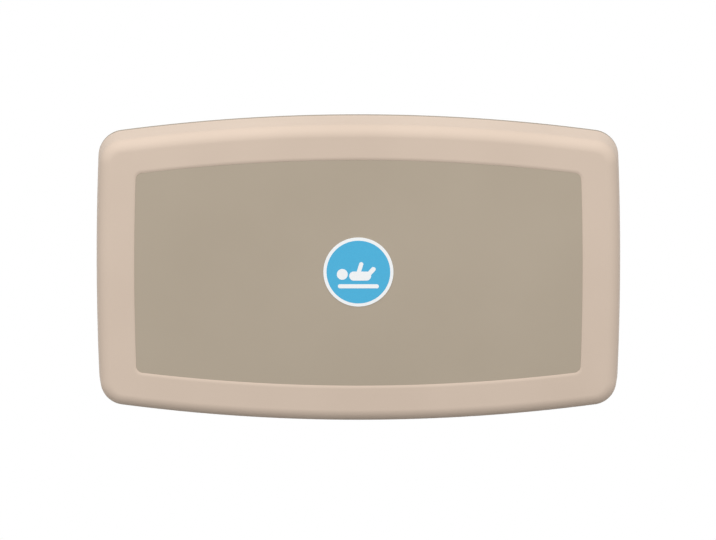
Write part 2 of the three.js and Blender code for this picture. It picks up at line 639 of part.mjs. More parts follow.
// The gas spring: a cylinder clamped to the chassis and a rod whose slotted eye rides on the crank pin
function buildGasSpring() {
  const bottom = hingeY + CYLINDER_RISE;
  const top = bottom + CYLINDER_LENGTH;
  const boreRadius = CYLINDER_RADIUS - CYLINDER_WALL;
  const outer = rodAlongY(CYLINDER_RADIUS, 0, [bottom, top], gasZ);
  const bore = rodAlongY(boreRadius, 0, [bottom + PISTON_LENGTH, top - PISTON_LENGTH], gasZ);
  const glandSpan = [bottom - OVERCUT, bottom + PISTON_LENGTH + OVERCUT];
  const gland = rodAlongY(ROD_RADIUS + RUNNING_FIT, 0, glandSpan, gasZ);
  add("gas_cylinder", cut(outer, bore, gland), BLACK_STEEL);

  const eyeY = hingeY - crankDrop;
  const slotHalf = CRANK_PIN_RADIUS + EYE_SLOT_PLAY;
  const slotRun = crankPlay / 2;
  const eyeOutline = stadium(slotRun, slotHalf + EYE_WALL, eyeY);
  const slotOutline = stadium(slotRun, slotHalf, eyeY);
  const eye = bar(eyeOutline, [-EYE_WIDTH / 2, EYE_WIDTH / 2]);
  const slot = bar(slotOutline, [-EYE_WIDTH, EYE_WIDTH]);
  const rodTop = bottom + ROD_ENGAGEMENT;
  const rod = rodAlongY(ROD_RADIUS, 0, [eyeY + slotHalf + EYE_WALL - JOIN_OVERLAP, rodTop], gasZ);
  const piston = rodAlongY(boreRadius - RUNNING_FIT, 0, [rodTop - PISTON_LENGTH, rodTop], gasZ);
  add("gas_rod", join(cut(eye, slot), rod, piston), CHROME);

  const clampBack = CHASSIS_WALL + SEAT;
  for (const [name, y] of [["lower", bottom + CLAMP_OFFSET], ["upper", top - CLAMP_HEIGHT]]) {
    const reach = CYLINDER_RADIUS + CLAMP_WALL;
    const span = [y - CLAMP_HEIGHT / 2, y + CLAMP_HEIGHT / 2];
    const block = box([-reach, reach], span, [clampBack, gasZ]);
    const band = rodAlongY(CYLINDER_RADIUS + CLAMP_BAND, 0, span, gasZ);
    const seat = rodAlongY(CYLINDER_RADIUS + SEAT, 0, [y - CLAMP_HEIGHT, y + CLAMP_HEIGHT], gasZ);
    add(`cylinder_clamp_${name}`, cut(join(block, band), seat), BLACK_STEEL);
  }
}

// An outline with straight long sides and round ends, in [z, y], about the gas spring's axis.
function stadium(halfRun, radius, y) {
  const front = new THREE.Vector2(gasZ + halfRun, y);
  const back = new THREE.Vector2(gasZ - halfRun, y);
  return [
    ...arcPoints(front, radius, -Math.PI / 2, Math.PI / 2, ROUND_SIDES / 2),
    new THREE.Vector2(front.x, y + radius),
    ...arcPoints(back, radius, Math.PI / 2, (3 * Math.PI) / 2, ROUND_SIDES / 2),
    new THREE.Vector2(back.x, y - radius),
  ].map((p) => [p.x, p.y]);
}

// Moulded cover over the gas spring, open below for the rod
function buildMechanismCover() {
  const back = CHASSIS_WALL + SEAT;
  const front = gasZ + CYLINDER_RADIUS + CLAMP_BAND + COVER_CLEARANCE;
  const top = coverBottomY + COVER_HEIGHT;
  const outside = box([-COVER_HALF_WIDTH, COVER_HALF_WIDTH], [coverBottomY, top], [back, front + COVER_WALL]);
  const insideHalf = COVER_HALF_WIDTH - COVER_WALL;
  const inside = box([-insideHalf, insideHalf], [coverBottomY - OVERCUT, top - COVER_WALL],
    [back - OVERCUT, front]);
  const reach = COVER_HALF_WIDTH + EAR_SIZE;
  const earSpan = [coverMiddleY - EAR_SIZE / 2, coverMiddleY + EAR_SIZE / 2];
  const ears = box([-reach, reach], earSpan, [back, back + EAR_THICKNESS]);
  const holes = sides.map(([, side]) => screwHole(side * coverScrewX, coverMiddleY, [0, front]));
  add("mechanism_cover", cut(join(outside, ears), inside, ...holes), CHASSIS_PLASTIC);
  const length = EAR_THICKNESS + SCREW_BITE;
  for (const [name, side] of sides) {
    addWallScrew(`cover_screw_${name}`, side * coverScrewX, coverMiddleY, back + EAR_THICKNESS, length);
  }
}

// Open-topped pockets for paper liners, each with a window to pull a liner through
function buildPockets() {
  const back = frontOfRailZ;
  const front = back + POCKET_DEPTH;
  const top = POCKET_BOTTOM_Y + POCKET_HEIGHT;
  sides.forEach(([name, side], which) => {
    const x = side * POCKET_CENTRE_X;
    const half = POCKET_WIDTH / 2;
    const innerHalf = half - POCKET_WALL;
    const outside = box([x - half, x + half], [POCKET_BOTTOM_Y, top], [back, front]);
    const inside = box([x - innerHalf, x + innerHalf], [POCKET_BOTTOM_Y + POCKET_WALL, top + OVERCUT],
      [back + POCKET_WALL, front - POCKET_WALL]);
    const windowBottom = POCKET_BOTTOM_Y + POCKET_WINDOW_RISE;
    const opening = box([x - POCKET_WINDOW_WIDTH / 2, x + POCKET_WINDOW_WIDTH / 2],
      [windowBottom, windowBottom + POCKET_WINDOW_HEIGHT], [front - 2 * POCKET_WALL, front + OVERCUT]);
    const screws = pocketScrews.slice(2 * which, 2 * which + 2);
    const earHalf = EAR_SIZE / 2;
    const earReach = earHalf + JOIN_OVERLAP;
    const ears = screws.map((place) => box([place.x - earReach, place.x + earReach],
      [place.y - earHalf, place.y + earHalf], [back, back + EAR_THICKNESS]));
    const holes = screws.map((place) => screwHole(place.x, place.y, [0, front]));
    add(`liner_pocket_${name}`, cut(join(outside, ...ears), inside, opening, ...holes), CHASSIS_PLASTIC);

    const stackBack = back + POCKET_WALL + SEAT;
    const stackBottom = POCKET_BOTTOM_Y + POCKET_WALL + SEAT;
    const stack = box([x - LINER_WIDTH / 2, x + LINER_WIDTH / 2], [stackBottom, stackBottom + LINER_HEIGHT],
      [stackBack, stackBack + LINER_STACK]);
    add(`liner_stack_${name}`, stack, PAPER);
    const length = EAR_THICKNESS + (frontOfRailZ - CHASSIS_WALL) + SCREW_BITE;
    screws.forEach((place, i) => {
      addWallScrew(`pocket_screw_${name}_${i + 1}`, place.x, place.y, back + EAR_THICKNESS, length);
    });
  });
}

// Bag hooks on the chassis, one at each end
function buildHooks() {
  const back = CHASSIS_WALL + SEAT;
  const bottom = HOOK_Y - HOOK_HEIGHT / 2;
  const profile = [
    [back, bottom],
    [back + HOOK_REACH - HOOK_THICKNESS, bottom],
    [back + HOOK_REACH, bottom + HOOK_THICKNESS],
    [back + HOOK_REACH, bottom + HOOK_LIP],
    [back + HOOK_REACH - HOOK_THICKNESS, bottom + HOOK_LIP],
    [back + HOOK_REACH - HOOK_THICKNESS, bottom + HOOK_THICKNESS],
    [back + HOOK_THICKNESS, bottom + HOOK_THICKNESS],
    [back + HOOK_THICKNESS, bottom + HOOK_HEIGHT],
    [back, bottom + HOOK_HEIGHT],
  ];
  for (const [name, side] of sides) {
    const x = side * HOOK_X;
    const body = bar(profile, [x - HOOK_WIDTH / 2, x + HOOK_WIDTH / 2]);
    const hole = screwHole(x, hookScrewY, [0, DEPTH]);
    add(`bag_hook_${name}`, cut(body, hole), CHASSIS_PLASTIC);
    addWallScrew(`hook_screw_${name}`, x, hookScrewY, back + HOOK_THICKNESS, HOOK_THICKNESS + SCREW_BITE);
  }
}

// Rubber pads: bumpers meet the tray rim when the bed is shut, and stops meet the shell when it is down
function buildPads() {
  const back = CHASSIS_WALL + SEAT;
  const rimMiddle = BASIN_TOP_BORDER / 2;
  const bumperY = HEIGHT / 2 - edgeDrop(BUMPER_X) - rimMiddle;
  const stopY = hingeY - STOP_DROP;
  const landingZ = hingeZ + STOP_DROP - STOP_RADIUS;
  const stopReach = rimZ + edgeDrop(STOP_X - STOP_RADIUS) + draftInset(landingZ) - SEAT;
  for (const [name, side] of sides) {
    const bumper = rodAlongZ(BUMPER_RADIUS, side * BUMPER_X, bumperY, [back, rimZ - SEAT]);
    add(`closing_bumper_${name}`, bumper, RUBBER);
    const stop = rodAlongZ(STOP_RADIUS, side * STOP_X, stopY, [back, stopReach]);
    add(`open_stop_${name}`, stop, RUBBER);
  }
}

// Outer shell: one moulding with an inside and an outside skin, screw bosses and a notch for the hinge
function buildShell() {
  const lastTurn = Math.PI / 2 - SHELL_DRAFT;
  const roundRings = (radius, fromFront) => Array.from({ length: ROUND_STEPS + 1 }, (_, i) => {
    const share = fromFront ? i / ROUND_STEPS : 1 - i / ROUND_STEPS;
    const turn = lastTurn * share;
    const inset = roundCentreInset - radius * Math.sin(turn);
    return { points: bowedOutline(envelope, inset), z: roundCentreZ + radius * Math.cos(turn) };
  });
  const lipRings = Array.from({ length: ROUND_STEPS + 1 }, (_, i) => {
    const turn = (Math.PI / 2) * (i / ROUND_STEPS);
    const flare = PANEL_LIP * (1 - Math.sin(turn));
    return { points: bowedOutline(panelForm, -flare), z: recessZ + PANEL_RECESS * Math.cos(turn) };
  });
  const wallInset = SHELL_WALL / Math.cos(SHELL_DRAFT);
  const skin = loft([
    { points: bowedOutline(panelForm, -PANEL_LIP / 2), z: recessZ - SHELL_WALL },
    { points: bowedOutline(panelForm, -PANEL_LIP - SHELL_WALL), z: DEPTH - SHELL_WALL },
    ...roundRings(FRONT_ROUND - SHELL_WALL, true),
    { points: bowedOutline(envelope, wallInset), z: rimZ },
    { points: bowedOutline(envelope), z: rimZ },
    ...roundRings(FRONT_ROUND, false),
    ...lipRings,
  ]);
  const bossTop = DEPTH - SHELL_WALL - PANEL_THICKNESS;
  const bossBottom = rimZ + TRAY_WALL + SEAT;
  const bosses = rimScrews.map(({ x, y }) => rodAlongZ(BOSS_RADIUS, x, y, [bossBottom, bossTop]));
  const pilots = rimScrews.map(({ x, y }) => screwHole(x, y, [0, rimZ + SCREW_LENGTH + PILOT_EXTRA]));
  const notchHalf = HINGE_LENGTH / 2 + 2 * LEAF_THICKNESS + NOTCH_END_PLAY;
  const notch = box([-notchHalf, notchHalf], [-HEIGHT, hingeY], [0, hingeZ + NOTCH_LAND]);
  add("bed_outer_shell", cut(join(skin, ...bosses), notch, ...pilots), SHELL_PLASTIC);
}

// Inset front panel and the round label, a little above its middle
function buildFront() {
  const back = recessZ + SEAT;
  const panel = loft([
    { points: bowedOutline(panelForm, PANEL_FIT), z: back },
    { points: bowedOutline(panelForm, PANEL_FIT), z: back + PANEL_THICKNESS - PANEL_EDGE },
    { points: bowedOutline(panelForm, PANEL_FIT + PANEL_EDGE), z: back + PANEL_THICKNESS },
  ]);
  add("front_panel", panel, PANEL_PLASTIC);
  const labelBack = back + PANEL_THICKNESS + SEAT;
  const label = rodAlongZ(LABEL_DIAMETER / 2, 0, panelForm.rise + LABEL_RISE,
    [labelBack, labelBack + LABEL_THICKNESS], LABEL_SIDES);
  add("front_label", label, LABEL_FILM);
}

// A solid that fills a basin whose wall falls as a quarter ellipse from the rim to the floor.
function basinSolid(wall, rimTopZ) {
  const rings = Array.from({ length: ROUND_STEPS + 2 }, (_, i) => {
    const turn = (Math.PI / 2) * (i / (ROUND_STEPS + 1));
    const inset = BASIN_WALL_RUN - (BASIN_WALL_RUN + wall) * Math.cos(turn);
    return { points: bowedOutline(basinForm, inset), z: rimZ + wall + TRAY_DEPTH * Math.sin(turn) };
  });
  return loft([{ points: rings[0].points, z: rimTopZ }, ...rings]);
}

// Inner tray: a rim, a basin, and a lower back edge that leaves room for the hinge and the gas spring
function buildTray() {
  const rimInset = SHELL_WALL + draftInset(rimZ + TRAY_WALL) + TRAY_FIT;
  const rim = plate(bowedOutline(envelope, rimInset), [rimZ, rimZ + TRAY_WALL]);
  const stepZ = rimZ + TRAY_STEP_HEIGHT;
  const stepY = hingeY + TRAY_STEP_RISE;
  const stepInset = SHELL_WALL + draftInset(stepZ + TRAY_WALL) + TRAY_FIT;
  const stepOutline = bowedOutline(envelope, stepInset);
  const belowStep = box([-WIDTH, WIDTH], [-HEIGHT, stepY], [0, stepZ]);
  const upperPart = cut(join(rim, basinSolid(TRAY_WALL, rimZ)), belowStep);
  const shelf = common(plate(stepOutline, [stepZ, stepZ + TRAY_WALL]),
    box([-WIDTH, WIDTH], [hingeY + TRAY_BACK_RISE, stepY + TRAY_WALL], [0, DEPTH]));
  const riser = common(plate(stepOutline, [rimZ, stepZ + TRAY_WALL]),
    box([-WIDTH, WIDTH], [stepY, stepY + TRAY_WALL], [0, DEPTH]));
  const floorSpan = [floorZ - OVERCUT, floorZ + TRAY_WALL + OVERCUT];
  const slotHalf = STRAP_WIDTH / 2 + STRAP_SLOT_PLAY;
  const slotReach = STRAP_THICKNESS + STRAP_BEND;
  const slots = [
    [STRAP_BOTTOM_Y - STRAP_THICKNESS, STRAP_BOTTOM_Y + slotReach],
    [STRAP_TOP_Y - slotReach, STRAP_TOP_Y + STRAP_THICKNESS],
  ].map((slotSpan) => box([-slotHalf, slotHalf], slotSpan, floorSpan));
  const boltHoles = bedBolts.map((x) => boltHole(x, BED_BOLT_Y, floorSpan));
  const screwHoles = rimScrews.map(({ x, y }) => screwHole(x, y, [0, rimZ + TRAY_WALL + OVERCUT]));
  const solid = join(upperPart, shelf, riser);
  add("bed_inner_tray", cut(solid, basinSolid(0, 0), ...slots, ...boltHoles, ...screwHoles), SHELL_PLASTIC);
}

// Fasteners of the bed: screws through the tray rim, and domed bolts through the tray floor into the bed leaf
function buildBedFasteners() {
  rimScrews.forEach(({ x, y }, i) => {
    add(`rim_screw_${i + 1}`, panScrew(SCREW_LENGTH).translate(x, y, rimZ - SEAT), STEEL);
  });
  bedBolts.forEach((x, i) => {
    const reach = bedLeafZ + LEAF_THICKNESS + SEAT + BOLT_HEAD_HEIGHT;
    const dome = [
      new THREE.Vector2(0, -BOLT_DOME),
      new THREE.Vector2(BOLT_HEAD_RADIUS * Math.SQRT1_2, -BOLT_DOME * Math.SQRT1_2),
      new THREE.Vector2(BOLT_HEAD_RADIUS, 0),
      new THREE.Vector2(0, 0),
    ];
    const head = new THREE.LatheGeometry(dome, ROUND_SIDES);
    head.rotateX(Math.PI / 2).translate(x, BED_BOLT_Y, floorZ - SEAT);
    const shank = rodAlongZ(BOLT_RADIUS, x, BED_BOLT_Y, [floorZ - SEAT - JOIN_OVERLAP, reach]);
    const nut = rodAlongZ(BOLT_HEAD_RADIUS, x, BED_BOLT_Y, [reach - BOLT_HEAD_HEIGHT, reach], HEX_SIDES);
    add(`bed_bolt_${i + 1}`, join(head, shank, nut), STEEL);
  });
  leafBolts.forEach((x, i) => {
    const seatZ = frontOfRailZ + LEAF_THICKNESS + SEAT;
    const head = rodAlongZ(BOLT_HEAD_RADIUS, x, leafBoltY, [seatZ, seatZ + BOLT_HEAD_HEIGHT], HEX_SIDES);
    const shank = rodAlongZ(BOLT_RADIUS, x, leafBoltY, [railZ, seatZ + JOIN_OVERLAP]);
    add(`leaf_bolt_${i + 1}`, join(head, shank), STEEL);
  });
}

// Safety strap across the basin: two lengths of webbing, sewn round bars behind the floor, and a cam buckle
function buildStrap() {
  const half = STRAP_WIDTH / 2;
  const span = [-half, half];
  const layer = STRAP_THICKNESS + SEAT;
  const lieZ = floorZ - SEAT - STRAP_THICKNESS / 2;
  const plateZ = lieZ - STRAP_THICKNESS / 2 - SEAT - BUCKLE_PLATE;
  const threadZ = plateZ - SEAT - STRAP_THICKNESS / 2;
  const loopRadius = ANCHOR_RADIUS + SEAT + STRAP_THICKNESS;
  const anchorZ = floorZ + TRAY_WALL + SEAT + loopRadius;
  const barY = BUCKLE_Y - BUCKLE_LENGTH / 2 + BUCKLE_PLATE;
  const loopAt = (y, z, radius) => cut(rodAlongX(radius + STRAP_THICKNESS, span, y, z),
    rodAlongX(radius, [-STRAP_WIDTH, STRAP_WIDTH], y, z));

  const lower = new THREE.Path();
  lower.moveTo(lieZ, barY - BUCKLE_PLATE - SEAT);
  lower.lineTo(lieZ, STRAP_BOTTOM_Y + STRAP_BEND);
  lower.quadraticCurveTo(lieZ, STRAP_BOTTOM_Y, lieZ + STRAP_BEND, STRAP_BOTTOM_Y);
  lower.lineTo(anchorZ - ANCHOR_RADIUS - SEAT - STRAP_THICKNESS / 2, STRAP_BOTTOM_Y);
  const lowerLoop = loopAt(STRAP_BOTTOM_Y, anchorZ, ANCHOR_RADIUS + SEAT);
  add("strap_lower", join(ribbon(lower, STRAP_THICKNESS, span), lowerLoop), WEBBING);

  const buckleTop = BUCKLE_Y + BUCKLE_LENGTH / 2;
  const buckleBottom = BUCKLE_Y - BUCKLE_LENGTH / 2;
  const upper = new THREE.Path();
  upper.moveTo(anchorZ - ANCHOR_RADIUS - SEAT - STRAP_THICKNESS / 2, STRAP_TOP_Y);
  upper.lineTo(lieZ + STRAP_BEND, STRAP_TOP_Y);
  upper.quadraticCurveTo(lieZ, STRAP_TOP_Y, lieZ, STRAP_TOP_Y - STRAP_BEND);
  const halfRamp = STRAP_RAMP / 2;
  upper.lineTo(lieZ, buckleTop + SEAT + STRAP_RAMP);
  upper.bezierCurveTo(lieZ, buckleTop + SEAT + halfRamp, threadZ, buckleTop + SEAT + halfRamp,
    threadZ, buckleTop + SEAT);
  upper.lineTo(threadZ, buckleBottom);
  upper.bezierCurveTo(threadZ, buckleBottom - halfRamp, lieZ - layer, buckleBottom - halfRamp,
    lieZ - layer, buckleBottom - STRAP_RAMP);
  upper.lineTo(lieZ - layer, STRAP_TAIL_Y);
  const upperLoop = loopAt(STRAP_TOP_Y, anchorZ, ANCHOR_RADIUS + SEAT);
  add("strap_upper", join(ribbon(upper, STRAP_THICKNESS, span), upperLoop), WEBBING);

  for (const [name, y] of [["lower", STRAP_BOTTOM_Y], ["upper", STRAP_TOP_Y]]) {
    const anchor = rodAlongX(ANCHOR_RADIUS, [-half - ANCHOR_OVERHANG, half + ANCHOR_OVERHANG], y, anchorZ);
    add(`strap_anchor_${name}`, anchor, STEEL);
  }

  const cheekInside = half + CHEEK_PLAY;
  const cheekOutside = cheekInside + BUCKLE_CHEEK;
  const pinZ = threadZ - STRAP_THICKNESS / 2 - SEAT - LEVER_CAM_RADIUS;
  const cheekZ = plateZ + BUCKLE_PLATE - BUCKLE_HEIGHT - BUCKLE_PLATE;
  const base = box([-cheekOutside, cheekOutside], [buckleBottom, buckleTop], [plateZ, plateZ + BUCKLE_PLATE]);
  const cheekSpan = [BUCKLE_Y - CHEEK_LENGTH / 2, BUCKLE_Y + CHEEK_LENGTH / 2];
  const cheeks = [-1, 1].map((side) => {
    const x = side > 0 ? [cheekInside, cheekOutside] : [-cheekOutside, -cheekInside];
    return box(x, cheekSpan, [cheekZ, plateZ + BUCKLE_PLATE]);
  });
  const pinHole = rodAlongX(BUCKLE_PIN_RADIUS + HOLE_FIT, [-WIDTH, WIDTH], BUCKLE_Y, pinZ);
  add("buckle_frame", cut(join(base, ...cheeks), pinHole), STEEL);
  const pinReach = cheekOutside + BUCKLE_PIN_OVERHANG;
  add("buckle_pin", rodAlongX(BUCKLE_PIN_RADIUS, [-pinReach, pinReach], BUCKLE_Y, pinZ), STEEL);
  const cam = rodAlongX(LEVER_CAM_RADIUS, span, BUCKLE_Y, pinZ);
  const handle = box(span, [BUCKLE_Y - LEVER_LENGTH, BUCKLE_Y],
    [pinZ - LEVER_CAM_RADIUS, pinZ - LEVER_CAM_RADIUS + LEVER_THICKNESS]);
  add("buckle_lever", cut(join(cam, handle), pinHole), BLACK_STEEL);
}

buildChassis();
buildRails();
buildWallLeaf();
buildHingePin();
buildBedLeaf();
buildGasSpring();
buildMechanismCover();
buildPockets();
buildHooks();
buildPads();
buildShell();
buildFront();
buildTray();
buildBedFasteners();
buildStrap();

export default root;
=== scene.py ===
import math
from types import SimpleNamespace

import bpy
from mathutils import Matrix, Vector


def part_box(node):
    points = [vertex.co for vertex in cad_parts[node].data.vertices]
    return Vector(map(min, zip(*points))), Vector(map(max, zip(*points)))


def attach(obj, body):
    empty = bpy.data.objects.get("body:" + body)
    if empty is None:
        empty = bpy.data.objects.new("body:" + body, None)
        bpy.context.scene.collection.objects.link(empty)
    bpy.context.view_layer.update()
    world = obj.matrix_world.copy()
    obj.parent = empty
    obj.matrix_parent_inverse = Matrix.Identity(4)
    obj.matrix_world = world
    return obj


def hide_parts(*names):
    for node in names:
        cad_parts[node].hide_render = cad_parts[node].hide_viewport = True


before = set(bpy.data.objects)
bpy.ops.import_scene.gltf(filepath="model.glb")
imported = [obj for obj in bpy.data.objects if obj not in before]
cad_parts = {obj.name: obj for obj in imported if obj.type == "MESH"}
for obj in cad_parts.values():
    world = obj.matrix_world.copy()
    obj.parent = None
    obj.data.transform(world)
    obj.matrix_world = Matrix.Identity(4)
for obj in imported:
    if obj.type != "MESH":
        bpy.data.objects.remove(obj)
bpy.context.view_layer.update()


# Wall chassis: the fixed back of the station, one polyethylene moulding that lies flat on the wall.
# A rim runs round it, relieved along the bottom where the bed swings past, and four holes take the
# wall bolts.
STATION = {"width": 914, "height": 530, "corner": 46}
HINGE_UP, HINGE_OUT = -231, 44
CHASSIS_WALL, CHASSIS_RIM, CHASSIS_RIM_WIDTH, RIM_RELIEF = 3.5, 8, 12, 20
BACK_ROUND, RIM_ROUND, RIM_FOOT_ROUND = 0.8, 2.2, 1.6
WALL_BOLT_X, WALL_BOLT_UP, WALL_BOLT_RADIUS = 203.2, (185, -135), 5
# A cut that runs right out of a piece ends at PAST. SKIN keeps shapes that meet off each other's faces.
PAST, SKIN = 500, 0.05


def at(x, up, out):
    """A place in metres, from millimetres to the right, up and out of the wall."""
    return Vector((x, -out, up)) / 1000


def spread(start, end, steps):
    """Numbers from start to end in even steps."""
    return [start + (end - start) * step / steps for step in range(steps + 1)]


def bowed_outline(width, height, corner, inset=0, rise=0, edge_bow=3120, side_bow=4800):
    """Points (x, up) in mm round an outline of four bowed edges and four corner arcs."""
    edge_reach, side_reach = edge_bow - corner, side_bow - corner
    side = Vector((width / 2 - side_bow, 0))
    edge = Vector((0, height / 2 - edge_bow))
    span = edge - side
    along = (side_reach**2 - edge_reach**2 + span.length_squared) / (2 * span.length)
    across = math.sqrt(side_reach**2 - along**2)
    way = span.normalized()
    middle = side + way * along + Vector((-way.y, way.x)) * across
    turn_in = math.atan2(*(middle - side).yx)
    turn_out = math.atan2(*(middle - edge).yx)
    arcs = (
        (side, side_bow - inset, 0, turn_in, 6),
        (middle, corner - inset, turn_in, turn_out, 12),
        (edge, edge_bow - inset, turn_out, math.pi / 2, 16),
    )
    quarter = [(centre.x + radius * math.cos(angle), centre.y + radius * math.sin(angle))
               for centre, radius, start, end, steps in arcs for angle in spread(start, end, steps)[:-1]]
    quarter.append((0, height / 2 - inset))
    points = (
        quarter
        + [(-x, up) for x, up in quarter[-2::-1]]
        + [(-x, -up) for x, up in quarter[1:]]
        + [(x, -up) for x, up in quarter[-2:0:-1]]
    )
    return [(x, up + rise) for x, up in points]


def take(piece):
    """Makes a piece the only selected one, and the active one."""
    bpy.ops.object.select_all(action="DESELECT")
    piece.select_set(True)
    bpy.context.view_layer.objects.active = piece


def named(piece, name):
    """Gives a piece and its mesh a name."""
    piece.name = name
    piece.data.name = name
    return piece


def started(name, add, **settings):
    """A new primitive, with nothing else selected and its place in its mesh."""
    bpy.ops.object.select_all(action="DESELECT")
    add(**settings)
    bpy.ops.object.transform_apply()
    return named(bpy.context.object, name)


def loft(name, rings, first_face=True):
    """A skin through rings of (points, out): a circle shaped to the first, and extruded to each next one.
    A face closes the last ring, and the first one too unless it is left open."""
    count = len(rings[0][0])
    piece = started(name, bpy.ops.mesh.primitive_circle_add, vertices=count, location=(0, 0, 0))
    bpy.ops.object.mode_set(mode="EDIT")
    bpy.ops.mesh.select_mode(type="EDGE")
    for number, (points, out) in enumerate(rings):
        if number:
            bpy.ops.mesh.extrude_edges_move()
        elif first_face:
            bpy.ops.mesh.edge_face_add()
        bpy.ops.object.mode_set(mode="OBJECT")
        for vertex, (x, up) in zip(piece.data.vertices[number * count:], points):
            vertex.co = at(x, up, out)
        bpy.ops.object.mode_set(mode="EDIT")
    bpy.ops.mesh.edge_face_add()
    bpy.ops.mesh.select_all(action="SELECT")
    bpy.ops.mesh.normals_make_consistent(inside=False)
    bpy.ops.object.mode_set(mode="OBJECT")
    return piece


def block(name, low, high):
    """A cube stretched between two corners."""
    low, high = Vector(map(min, low, high)), Vector(map(max, low, high))
    return started(name, bpy.ops.mesh.primitive_cube_add, size=1, location=(low + high) / 2,
                   scale=high - low)


def rod(name, start, end, radius, sides=40):
    """A cylinder of a radius in mm between two places."""
    way = end - start
    turned = way.to_track_quat("Z", "Y").to_euler()
    return started(name, bpy.ops.mesh.primitive_cylinder_add, vertices=sides, radius=radius / 1000,
                   depth=way.length, location=(start + end) / 2, rotation=turned)


def outward_rod(name, x, up, back, front, radius, sides=40):
    """A cylinder that points out of the wall."""
    return rod(name, at(x, up, back), at(x, up, front), radius, sides)


def wall_bolt_holes(*sides):
    """Cylinders right through the station, where the wall bolts of one side or both pass."""
    return [outward_rod("bolt_hole", side * WALL_BOLT_X, up, -PAST, PAST, WALL_BOLT_RADIUS)
            for side in sides for up in WALL_BOLT_UP]


def joined(pieces):
    """Several pieces as one object."""
    take(pieces[0])
    for piece in pieces:
        piece.select_set(True)
    if len(pieces) > 1:
        bpy.ops.object.join()
    return pieces[0]


def modify(piece, kind, **settings):
    """Adds a modifier with its settings to a piece, and applies it."""
    take(piece)
    bpy.ops.object.modifier_add(type=kind)
    step = piece.modifiers[-1]
    for setting, value in settings.items():
        setattr(step, setting, value)
    bpy.ops.object.modifier_apply(modifier=step.name)


def boolean(piece, operation, *tools):
    """Cuts tools out of a piece, joins them to it, or keeps what it shares with them, and uses them up.
    Tools that are given together stand clear of each other."""
    tool = joined(tools)
    modify(piece, "BOOLEAN", operation=operation, object=tool, solver="EXACT")
    bpy.data.objects.remove(tool)


def soften(piece, width, segments=2, angle=40):
    """Rounds every edge sharper than an angle by a width in mm."""
    modify(piece, "BEVEL", width=width / 1000, segments=segments, limit_method="ANGLE",
           angle_limit=math.radians(angle))


def rounding(radius, steps=4):
    """Pairs of (inset, depth) along a rounded edge, from its side to its face."""
    return [(radius * (1 - math.cos(turn)), radius * (1 - math.sin(turn)))
            for turn in spread(0, math.pi / 2, steps)]


def linear(code):
    """An sRGB hex colour as the linear colour that shaders take."""
    parts = [int(code[i:i + 2], 16) / 255 for i in (1, 3, 5)]
    return [p / 12.92 if p <= 0.04045 else ((p + 0.055) / 1.055) ** 2.4 for p in parts] + [1]


def add_node(tree, kind, inputs=(), **settings):
    """A shader node with its settings, and its sockets set to values or linked to other sockets."""
    made = tree.nodes.new(f"ShaderNode{kind}")
    for setting, value in settings.items():
        setattr(made, setting, value)
    for socket, value in dict(inputs).items():
        if isinstance(value, bpy.types.NodeSocket):
            tree.links.new(value, made.inputs[socket])
        else:
            made.inputs[socket].default_value = value
    return made


def new_material(name, coordinates="Object"):
    """An empty material, its node tree, and the coordinates that its patterns follow."""
    made = bpy.data.materials.new(name)
    made.use_nodes = True
    made.node_tree.nodes.clear()
    return made, made.node_tree, add_node(made.node_tree, "TexCoord").outputs[coordinates]


def shade_range(ramp, *stops):
    """Sets a colour ramp to stops of (position, sRGB hex), and gives its colour."""
    while len(ramp.color_ramp.elements) < len(stops):
        ramp.color_ramp.elements.new(0.5)
    for element, (position, code) in zip(ramp.color_ramp.elements, stops):
        element.position = position
        element.color = linear(code)
    return ramp.outputs["Color"]


def surfaced(made, inputs):
    """Ends a material in a shader with these inputs."""
    shader = add_node(made.node_tree, "BsdfPrincipled", inputs)
    add_node(made.node_tree, "OutputMaterial", {"Surface": shader.outputs[0]})
    return made


def moulded_polyethylene(name, dark, colour, pale):
    """Polyethylene from a grained mould: waxy and matt, and faintly cloudy where the resin flowed.
    The real grain is about 0.6 mm wide; it is drawn 2.4 mm wide, because a finer one wouldn't show."""
    made, tree, place = new_material(name)
    flow_size, grain_size, pore_size = 0.21, 0.0024, 0.0011
    flow = add_node(tree, "TexNoise", {
        "Vector": place, "Scale": 1 / flow_size, "Detail": 3, "Roughness": 0.45})
    grain = add_node(tree, "TexNoise", {
        "Vector": place, "Scale": 1 / grain_size, "Detail": 2, "Roughness": 0.6})
    pores = add_node(tree, "TexVoronoi", {"Vector": place, "Scale": 1 / pore_size})
    cloud = add_node(tree, "ValToRGB", {"Fac": flow.outputs["Fac"]})
    shine = add_node(tree, "MapRange", {
        "Value": grain.outputs["Fac"], "From Min": 0.3, "From Max": 0.7, "To Min": 0.5, "To Max": 0.64})
    relief = add_node(tree, "Math", {0: grain.outputs["Fac"], 1: pores.outputs["Distance"]}, operation="ADD")
    bump = add_node(tree, "Bump", {"Strength": 0.14, "Distance": 0.0003, "Height": relief.outputs[0]})
    return surfaced(made, {
        "Base Color": shade_range(cloud, (0.3, dark), (0.5, colour), (0.7, pale)),
        "Roughness": shine.outputs["Result"], "Normal": bump.outputs["Normal"],
        "IOR": 1.51, "Specular IOR Level": 0.25})


def dress(piece, material, body, slot, *nodes, angle=35):
    """Gives a finished piece its material, shading and body, and hides the CAD nodes that it stands for. Its
    slot is not used.
    """
    take(piece)
    piece.data.materials.clear()
    piece.data.materials.append(material)
    bpy.ops.object.shade_smooth_by_angle(angle=math.radians(angle))
    modify(piece, "WEIGHTED_NORMAL", keep_sharp=True)
    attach(piece, body)
    if nodes:
        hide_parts(*nodes)


